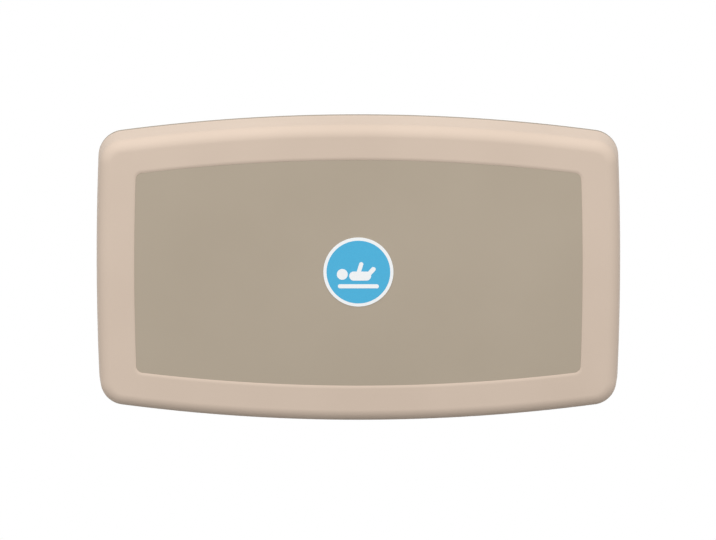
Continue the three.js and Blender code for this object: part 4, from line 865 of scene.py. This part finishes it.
# The shelf's edges end inside the tray's wall, halfway through it.
hidden = TRAY_WALL / 2
shelf_outline = bowed_outline(**STATION, inset=SHELF_INSET)
shelf = loft("shelf", [(shelf_outline, RIM_OUT + hidden), (shelf_outline, STEP_OUT + TRAY_WALL)])
boolean(shelf, "INTERSECT", block("hinge_strip", at(-PAST, SHELF_LOW, 0),
                                  at(PAST, STEP_UP + TRAY_WALL, PAST)))
boolean(shelf, "DIFFERENCE", block("step", at(-PAST, -PAST, 0),
                                   at(PAST, STEP_UP + SHELF_SEAM, STEP_OUT + SHELF_SEAM)))
basin_space = basin_rings(12, hidden)
boolean(shelf, "DIFFERENCE", loft("basin_space", [(basin_space[0][0], 0), *basin_space[1:]]))
boolean(tray, "UNION", shelf)
for slot_low, slot_high in STRAP_SLOTS:
    slot = block("strap_slot", at(-SLOT_HALF, slot_low, floor_out - SLOT_IN),
                 at(SLOT_HALF, slot_high, floor_out + SLOT_OUT))
    slot_middle = floor_out + (SLOT_OUT - SLOT_IN) / 2
    round_off(slot, "EDGE", lambda x, up, out: near(out, slot_middle), SLOT_ROUND, 6)
    boolean(tray, "DIFFERENCE", slot)
beige_polyethylene = moulded_polyethylene("beige_moulded_polyethylene", "#cfbcab", "#d2bfae", "#d4c1b0")
dress(tray, beige_polyethylene, "bed", "shell_plastic", "bed_inner_tray")


# Bed bolts: four domed steel bolts through the tray's floor and the moving leaf, each with a hex nut behind.
# Their heads lie low, so nothing catches on them.
DOME_HEIGHT, DOME_RADIUS, DOME_ROUND, NUT_ROUND, BOLT_TIP = 2, 6, 1.8, 0.4, 0.4
space = extent("bed_bolt_1")
seat = space.back + DOME_HEIGHT
bed_bolt = outward_rod("domed_bolt", space.x, space.up, space.back, seat, DOME_RADIUS)
round_off(bed_bolt, "FACE", lambda x, up, out: near(out, space.back), DOME_ROUND, 5)
pull(bed_bolt, lambda x, up, out: near(out, seat), at(0, 0, space.front - seat), DOME_RADIUS - BOLT_RADIUS)
nut = outward_rod("nut", space.x, space.up, space.front - HEX_HEIGHT, space.front - BOLT_TIP, HEX_RADIUS, 6)
soften(nut, NUT_ROUND)
boolean(bed_bolt, "UNION", nut)
copies(bed_bolt, "bed_bolt", FOUR, zinc_plated_steel, "bed", "zinc_steel")


# Safety strap: two lengths of charcoal nylon webbing, each sewn round a steel bar behind the floor and
# brought out through a slot. The upper one threads the buckle, and its free end is hemmed with two rows
# of stitches.
STRAP_HALF, STRAP_THICKNESS, STRAP_ROUND, STRAP_BEND = 19, 1.6, 0.45, 4
ANCHOR_RADIUS, LOOP_FIT, LOOP_START, LOOP_END = 3, 0.3, math.radians(50), math.radians(310)
SEWN_RISE, SEWN_BACK = 1.7, 1.2
STRAP_LOW, STRAP_HIGH, STRAP_TAIL, HEM, HEM_RISE, HEM_PLAY = -120, 165, -60, 14, 1, 0.1
BUCKLE_LOW, BUCKLE_HIGH, BUCKLE_RAMP, BUCKLE_LAP = 42, 82, 16, 10
LIE_OUT, THREAD_OUT, TAIL_OUT, ANCHOR_OUT = 72.9, 68.9, 71, 82.7
STITCH, STITCH_GAP, THREAD_RADIUS, THREAD_ROUND, STITCH_BORDER, STITCH_ROW = 2.6, 0.9, 0.32, 0.2, 4, 5


def woven_nylon():
    """Nylon webbing: a dull charcoal twill. The real threads are 0.9 mm apart; they are drawn 1.9 mm apart,
    to show."""
    made, tree, place = new_material("charcoal_nylon_webbing", "UV")
    thread, twill_slant = 0.0019, math.radians(63)
    turned = add_node(tree, "Mapping", {"Vector": place, "Rotation": (0, 0, twill_slant)})
    twill = add_node(tree, "TexWave", {"Vector": turned.outputs[0], "Scale": WAVE_LENGTH / thread})
    picks = add_node(tree, "TexWave", {
        "Vector": place, "Scale": WAVE_LENGTH / thread, "Distortion": 0.4}, bands_direction="Y")
    weave = add_node(tree, "Math", {0: twill.outputs["Fac"], 1: picks.outputs["Fac"]}, operation="MULTIPLY")
    shade = add_node(tree, "ValToRGB", {"Fac": weave.outputs[0]})
    bump = add_node(tree, "Bump", {"Strength": 0.6, "Distance": 0.0004, "Height": weave.outputs[0]})
    return surfaced(made, {
        "Base Color": shade_range(shade, (0.05, "#26292c"), (0.8, "#494d52")), "Roughness": 0.68,
        "Normal": bump.outputs["Normal"], "Sheen Weight": 0.25, "Sheen Roughness": 0.4})


def from_slot(slot_up, inward):
    """A strap's path from its sewn end, round its bar and out of its slot, until it lies on the floor."""
    reach = ANCHOR_RADIUS + LOOP_FIT + STRAP_THICKNESS / 2
    loop = [(slot_up + inward * reach * math.sin(turn), ANCHOR_OUT - reach * math.cos(turn))
            for turn in spread(LOOP_START, LOOP_END, 16)]
    bend = [(slot_up + inward * STRAP_BEND * (1 - math.cos(turn)),
             LIE_OUT + STRAP_BEND * (1 - math.sin(turn))) for turn in spread(0, math.pi / 2, 8)]
    return [(slot_up + inward * SEWN_RISE, ANCHOR_OUT - reach - SEWN_BACK), *loop, *bend]


def s_ramp(start, end):
    """A smooth step between two places of a path."""
    return [(start[0] + (end[0] - start[0]) * s, start[1] + (end[1] - start[1]) * s * s * (3 - 2 * s))
            for s in spread(0, 1, 12)]


def evenly(start, end, count):
    """Places along a straight part of a path, without its ends."""
    return list(zip(spread(start[0], end[0], count), spread(start[1], end[1], count)))[1:-1]


nylon_webbing = woven_nylon()
lower_end = (BUCKLE_LOW + BUCKLE_LAP, LIE_OUT)
lower_path = [*from_slot(STRAP_LOW, 1), *evenly((STRAP_LOW + STRAP_BEND, LIE_OUT), lower_end, 16), lower_end]
ramp_start, ramp_end = (BUCKLE_HIGH + LOOP_FIT + BUCKLE_RAMP, LIE_OUT), (BUCKLE_HIGH + LOOP_FIT, THREAD_OUT)
drop_start, drop_end = (BUCKLE_LOW, THREAD_OUT), (BUCKLE_LOW - BUCKLE_RAMP, TAIL_OUT)
fold, fold_up = STRAP_THICKNESS / 2 + HEM_PLAY, STRAP_TAIL + HEM_RISE
hem_out = TAIL_OUT - 2 * fold
upper_path = [*from_slot(STRAP_HIGH, -1), *evenly((STRAP_HIGH - STRAP_BEND, LIE_OUT), ramp_start, 6),
              *s_ramp(ramp_start, ramp_end), *evenly(ramp_end, drop_start, 4), *s_ramp(drop_start, drop_end),
              *evenly(drop_end, (fold_up, TAIL_OUT), 9),
              *((fold_up - fold * math.sin(turn), TAIL_OUT - fold * (1 - math.cos(turn)))
                for turn in spread(0, math.pi, 8)),
              (STRAP_TAIL + HEM / 2, hem_out), (STRAP_TAIL + HEM, hem_out)]
straps = {}
for node, path in (("strap_lower", lower_path), ("strap_upper", upper_path)):
    strap, strap_length = ribbon(f"webbing_{node}", path, (-STRAP_HALF, STRAP_HALF), STRAP_THICKNESS, 6)
    soften(strap, STRAP_ROUND, 2, 60)
    dress(strap, nylon_webbing, "bed", "webbing", node, angle=50)
    straps[node] = strap, strap_length


def sewing_thread():
    """Bonded polyester thread: pale grey, with a tight twist about 0.7 mm long and a slight shine."""
    made, tree, place = new_material("bonded_polyester_thread")
    twist = 0.0007
    plies = add_node(tree, "TexWave", {
        "Vector": place, "Scale": WAVE_LENGTH / twist}, bands_direction="DIAGONAL")
    shade = add_node(tree, "ValToRGB", {"Fac": plies.outputs["Fac"]})
    bump = add_node(tree, "Bump", {"Strength": 0.4, "Distance": 0.0001, "Height": plies.outputs["Fac"]})
    return surfaced(made, {
        "Base Color": shade_range(shade, (0.1, "#8d9196"), (0.9, "#b7babd")), "Roughness": 0.5,
        "Normal": bump.outputs["Normal"]})


stitch_pitch = STITCH + STITCH_GAP
stitch_count = int((2 * STRAP_HALF - STITCH_BORDER) / stitch_pitch)
row_half = (stitch_count * stitch_pitch - STITCH_GAP) / 2
first_stitch = cross_rod("hem_stitches", -row_half, STITCH - row_half, STRAP_TAIL + STITCH_BORDER,
                         hem_out - STRAP_THICKNESS / 2, THREAD_RADIUS, 8)
soften(first_stitch, THREAD_ROUND, 2, 60)
stitches = joined([first_stitch, *(copy_of(first_stitch, "stitch", at(number * stitch_pitch, 0, 0))
                                   for number in range(1, stitch_count))])
stitches = joined([stitches, copy_of(stitches, "stitch_row", at(0, STITCH_ROW, 0))])
dress(stitches, sewing_thread(), "bed", "webbing")
for node, held_by in (("strap_lower", "strap_anchor_lower"), ("strap_upper", "strap_anchor_upper")):
    strap, strap_length = straps[node]


# Strap bars: two short steel rods behind the tray's floor. The sewn loops of the strap hold them, and they
# are too long to pass the slots.
BAR_ROUND = 0.7
for node in ("strap_anchor_lower", "strap_anchor_upper"):
    space = extent(node)
    bar = cross_rod(f"{node}_bar", space.left, space.right, space.up, space.out, ANCHOR_RADIUS)
    soften(bar, BAR_ROUND, 3)
    dress(bar, zinc_plated_steel, "bed", "zinc_steel", node)


# Cam buckle: a pressed steel frame with two cheeks, a pin across them, and a black lever whose cam grips
# the strap. The lever's thumb end is ribbed.
CHEEK_LOW, CHEEK_HIGH, CHEEK_INSIDE, BUCKLE_PLATE, BUCKLE_ROUND = 49, 75, 19.9, 1.8, 0.5
BUCKLE_PIN_RADIUS, BUCKLE_PIN_HOLE = 1.8, 2
CAM_RADIUS, LEVER_THICKNESS, LEVER_CORNER, LEVER_ROUND = 4.4, 3, 7, 0.7
RIBS, RIB_HALF, RIB_RADIUS, RIB_PITCH, RIB_START = 4, 11, 0.6, 2.6, 4
space = extent("buckle_frame")
plate_near = space.front - BUCKLE_PLATE
buckle = block("buckle_cheek_frame", at(-space.right, BUCKLE_LOW, plate_near),
               at(space.right, BUCKLE_HIGH, space.front))
for x in (-CHEEK_INSIDE, CHEEK_INSIDE):
    bisect(buckle, at(x, 0, 0), (1, 0, 0))
for up in (CHEEK_LOW, CHEEK_HIGH):
    bisect(buckle, at(0, up, 0), (0, 0, 1))
pull(buckle, lambda x, up, out: near(out, plate_near) and abs(x) > CHEEK_INSIDE
     and CHEEK_LOW < up < CHEEK_HIGH, at(0, 0, space.back - plate_near))
pin_space = extent("buckle_pin")
lever_axis = pin_space.up, pin_space.out
boolean(buckle, "DIFFERENCE", cross_rod("pin_hole", -PAST, PAST, *lever_axis, BUCKLE_PIN_HOLE))
soften(buckle, BUCKLE_ROUND, 3, 50)
dress(buckle, zinc_plated_steel, "bed", "zinc_steel", "buckle_frame")
buckle_pin = cross_rod("buckle_rivet", pin_space.left, pin_space.right, *lever_axis, BUCKLE_PIN_RADIUS, 24)
soften(buckle_pin, BUCKLE_ROUND, 3)
dress(buckle_pin, zinc_plated_steel, "bed", "zinc_steel", "buckle_pin")

space = extent("buckle_lever")
lever = block("cam_lever", at(-space.right, space.low, space.back),
              at(space.right, pin_space.up, space.back + LEVER_THICKNESS))
lever_middle = space.back + LEVER_THICKNESS / 2
round_off(lever, "EDGE", lambda x, up, out: near(out, lever_middle) and near(up, space.low), LEVER_CORNER, 8)
soften(lever, LEVER_ROUND, 3)
boolean(lever, "UNION", cross_rod("cam", -space.right, space.right, *lever_axis, CAM_RADIUS, 48))
for number in range(RIBS):
    rib_up = space.low + RIB_START + RIB_PITCH * number
    boolean(lever, "UNION", cross_rod("grip_rib", -RIB_HALF, RIB_HALF, rib_up, space.back, RIB_RADIUS, 12))
boolean(lever, "DIFFERENCE", cross_rod("pin_hole", -PAST, PAST, *lever_axis, BUCKLE_PIN_HOLE))
dress(lever, black_powder_coat, "buckle_lever", "black_steel", "buckle_lever")


# Outer shell of the bed: one beige polyethylene moulding with tapered sides, a rounded front edge and
# a shallow recess for the front panel. Bosses inside take the rim screws, and a notch clears the hinge.
DEPTH, SHELL_WALL, FRONT_ROUND, DRAFT = 102, 3.5, 21, math.radians(3)
BOSS_RADIUS, BOSS_SEAT, BOSS_TOP, NOTCH_PLAY, NOTCH_RISE = 6, 0.3, 2.2, 1, 2
PANEL = {"width": 779, "height": 398, "corner": 12, "rise": 1.7}
PANEL_RECESS, PANEL_LIP = 4, 6
# The edge at the rim is broken by a small chamfer, given as (inset, height above the rim).
SHELL_CHAMFER = (0.7, 0), (0.04, 0.8)
round_out = DEPTH - FRONT_ROUND
round_inset = (round_out - RIM_OUT) * math.tan(DRAFT) + FRONT_ROUND / math.cos(DRAFT)
panel_space = extent("front_panel")
lip_turn = 2 * math.atan2(DEPTH - panel_space.front, PANEL_LIP)
lip_radius = PANEL_LIP / math.sin(lip_turn)
shell = loft("bed_shell_moulding", [
    *((bowed_outline(**STATION, inset=inset), RIM_OUT + height) for inset, height in SHELL_CHAMFER),
    *((bowed_outline(**STATION, inset=round_inset - FRONT_ROUND * math.sin(turn)),
       round_out + FRONT_ROUND * math.cos(turn)) for turn in spread(math.pi / 2 - DRAFT, 0, 12)),
    *((bowed_outline(**PANEL, inset=lip_radius * math.sin(turn) - PANEL_LIP),
       DEPTH - lip_radius * (1 - math.cos(turn))) for turn in spread(0, lip_turn, 8)),
    (bowed_outline(**PANEL), DEPTH - PANEL_RECESS),
], first_face=False)
look_along(shell, (0, -1, 0))
thicken(shell, SHELL_WALL)
for number in range(1, 7):
    space = extent(f"rim_screw_{number}")
    boolean(shell, "UNION", outward_rod("boss", space.x, space.up, RIM_OUT + TRAY_WALL + BOSS_SEAT,
                                        DEPTH - SHELL_WALL - BOSS_TOP, BOSS_RADIUS))
notch_half = LEAF_HALF + 2 * LEAF + NOTCH_PLAY
boolean(shell, "DIFFERENCE", block("hinge_notch", at(-notch_half, -PAST, 0),
                                   at(notch_half, HINGE_UP, HINGE_OUT + NOTCH_RISE)))
dress(shell, beige_polyethylene, "bed", "shell_plastic", "bed_outer_shell")


# Front panel: a flat taupe sheet let into the shell's recess, with a small rounded edge.
# It is bonded in, so no fixing shows.
PANEL_FIT, PANEL_ROUND = 0.06, 0.3
panel = loft("front_panel_sheet", [
    (bowed_outline(**PANEL, inset=PANEL_FIT), panel_space.back),
    *((bowed_outline(**PANEL, inset=PANEL_FIT + inset), panel_space.front - depth)
      for inset, depth in rounding(PANEL_ROUND)),
])
dress(panel, moulded_polyethylene("taupe_panel_polyethylene", "#aea18f", "#b0a391", "#b2a593"),
      "bed", "panel_plastic", "front_panel")


# Front label: a round vinyl film stuck to the panel, with a white border and a blue field.
# A plain pictogram of a baby on a mat says what the station is for.
LABEL_RISE, FIELD_SHARE = 1.8, 0.908
PRINT_RELIEF, FILM_ROUND, STROKE_SUNK, LIMB_DROP = 0.3, 0.3, 0.15, 0.02
FIELD_RELIEF, FIELD_ROUND, FIELD_SUNK = 0.12, 0.08, 0.2
HEAD_X, HEAD_UP, HEAD_RADIUS = -28, -4, 9.5
# The pictogram's strokes, each as its start (x, up), its run (x, up) and its radius.
MAT, BODY, LEG, ARM = (-32, -25, 64, 0, 3.6), (-8, -7, 22, 0, 8), (14, -8, 12, 13, 4), (0, -2, 5, 16, 3.6)


def printed_vinyl(name, dark, pale):
    """Printed vinyl film: an even ink under a clear satin coat, which lies in faint waves 40 mm long."""
    made, tree, place = new_material(name)
    wave_size, ink_size = 0.04, 0.0015
    waves = add_node(tree, "TexNoise", {"Vector": place, "Scale": 1 / wave_size, "Detail": 1})
    ink = add_node(tree, "TexNoise", {"Vector": place, "Scale": 1 / ink_size, "Detail": 2})
    shade = add_node(tree, "ValToRGB", {"Fac": ink.outputs["Fac"]})
    bump = add_node(tree, "Bump", {"Strength": 0.15, "Distance": 0.0004, "Height": waves.outputs["Fac"]})
    return surfaced(made, {
        "Base Color": shade_range(shade, (0.3, dark), (0.7, pale)), "Roughness": 0.36,
        "Normal": bump.outputs["Normal"], "Coat Weight": 0.3, "Coat Roughness": 0.25})


def disc(name, back, front, radius, edge, segments):
    """A round film about the label's middle, with a rounded front edge."""
    made = outward_rod(name, 0, label_up, back, front, radius, 128)
    round_off(made, "FACE", lambda x, up, out: near(out, front), edge, segments)
    return made


def stroke(x, up, run_x, run_up, radius, lower=0.0):
    """A round-ended stroke of the pictogram, or one that lies a little lower."""
    up += label_up
    return stadium("stroke", at(x, up, field_front - STROKE_SUNK + lower), at(x, up, print_front - lower),
                   at(run_x, run_up, 0), radius)


space = extent("front_label")
label_up, label_radius, print_front = PANEL["rise"] + LABEL_RISE, (space.right - space.left) / 2, space.front
film_front = print_front - PRINT_RELIEF
field_front = film_front + FIELD_RELIEF
white_vinyl = printed_vinyl("white_printed_vinyl", "#f0f2f3", "#f6f8f9")
film = disc("label_film", space.back, film_front, label_radius, FILM_ROUND, 3)
dress(film, white_vinyl, "bed", "label_film", "front_label")
field = disc("label_field", film_front - FIELD_SUNK, field_front, label_radius * FIELD_SHARE, FIELD_ROUND, 2)
dress(field, printed_vinyl("blue_printed_vinyl", "#35abd8", "#3bb1dc"), "bed", "label_film")
mat = stroke(*MAT)
baby = stroke(*BODY)
for limb in (LEG, ARM):
    boolean(baby, "UNION", stroke(*limb, LIMB_DROP))
head = outward_rod("head", HEAD_X, label_up + HEAD_UP, field_front - STROKE_SUNK, print_front,
                   HEAD_RADIUS, 64)
dress(named(joined([baby, mat, head]), "label_pictogram"), white_vinyl, "bed", "label_film")


# Camera, light and floor: a long lens a little above the station, as in a catalogue picture, soft light
# from above and in front, a low fill behind, and a plain pale floor well below the station.
CAMERA_TILT, CAMERA_AWAY, CAMERA_AIM, FIELD = math.radians(10), 20, at(-0.7, -1.7, 51), 1.2475
LIGHTS = (("key_light", (-0.4, -2, 3.45), 2, 26), ("back_fill_light", (0, 3.5, -0.4), 1, 34))
ROOM_LIGHT, ROOM_GRADIENT = 0.642, (0, -0.435, 0.57)
FLOOR_UP, FLOOR_RADIUS, FLOOR_FADE = -0.93, 1.8, 0.6
scene = bpy.context.scene
lens = bpy.data.cameras.new("camera")
scene.camera = bpy.data.objects.new("camera", lens)
scene.collection.objects.link(scene.camera)
camera_back = Vector((0, -math.cos(CAMERA_TILT), math.sin(CAMERA_TILT)))
scene.camera.location = CAMERA_AIM + camera_back * CAMERA_AWAY
scene.camera.rotation_euler = (-camera_back).to_track_quat("-Z", "Y").to_euler()
lens.sensor_width = 36
lens.lens = lens.sensor_width * CAMERA_AWAY / FIELD
lens.clip_end = 200

for name, place, size, energy in LIGHTS:
    lamp = bpy.data.lights.new(name, "AREA")
    lamp.size, lamp.energy = size, energy
    holder = bpy.data.objects.new(name, lamp)
    holder.location = place
    holder.rotation_euler = (-holder.location).to_track_quat("-Z", "Y").to_euler()
    holder.visible_camera = False
    scene.collection.objects.link(holder)

# The room lights the station from above and in front, and the camera and reflections see plain white.
scene.world = bpy.data.worlds.new("studio")
scene.world.use_nodes = True
tree = scene.world.node_tree
tree.nodes.clear()
way = add_node(tree, "TexCoord").outputs["Generated"]
slope = add_node(tree, "VectorMath", {0: way, 1: ROOM_GRADIENT}, operation="DOT_PRODUCT")
room = add_node(tree, "Math", {0: slope.outputs["Value"], 1: ROOM_LIGHT}, operation="ADD")
rays = add_node(tree, "LightPath").outputs
seen = add_node(tree, "Math", {0: rays["Is Camera Ray"], 1: rays["Is Glossy Ray"]}, operation="MAXIMUM")
seen = add_node(tree, "Math", {0: seen.outputs[0], 1: rays["Is Transmission Ray"]}, operation="MAXIMUM")
strength = add_node(tree, "MapRange", {"Value": seen.outputs[0], "To Min": room.outputs[0], "To Max": 1})
sky = add_node(tree, "Background", {"Color": (1, 1, 1, 1), "Strength": strength.outputs["Result"]})
add_node(tree, "OutputWorld", {"Surface": sky.outputs[0]})

# The floor fades out towards its edge, and is darker to bounced light, so that it doesn't light the station.
floor = started("floor", bpy.ops.mesh.primitive_circle_add, vertices=96, radius=FLOOR_RADIUS,
                location=(0, 0, FLOOR_UP), fill_type="NGON")
floor_paint, tree, place = new_material("pale_floor_paint")
flat = add_node(tree, "VectorMath", {0: place, 1: (1, 1, 0)}, operation="MULTIPLY")
away = add_node(tree, "VectorMath", {0: flat.outputs[0]}, operation="LENGTH")
fade = add_node(tree, "MapRange", {
    "Value": away.outputs["Value"], "From Min": FLOOR_FADE, "From Max": FLOOR_RADIUS},
    interpolation_type="SMOOTHSTEP")
paint = add_node(tree, "ValToRGB", {"Fac": add_node(tree, "LightPath").outputs["Is Diffuse Ray"]})
matt = add_node(tree, "BsdfDiffuse", {"Color": shade_range(paint, (0, "#f2f2f0"), (1, "#3a3a39"))})
clear = add_node(tree, "BsdfTransparent")
mixed = add_node(tree, "MixShader", {0: fade.outputs["Result"], 1: matt.outputs[0], 2: clear.outputs[0]})
add_node(tree, "OutputMaterial", {"Surface": mixed.outputs[0]})
floor.data.materials.append(floor_paint)

scene.view_settings.view_transform = "Standard"
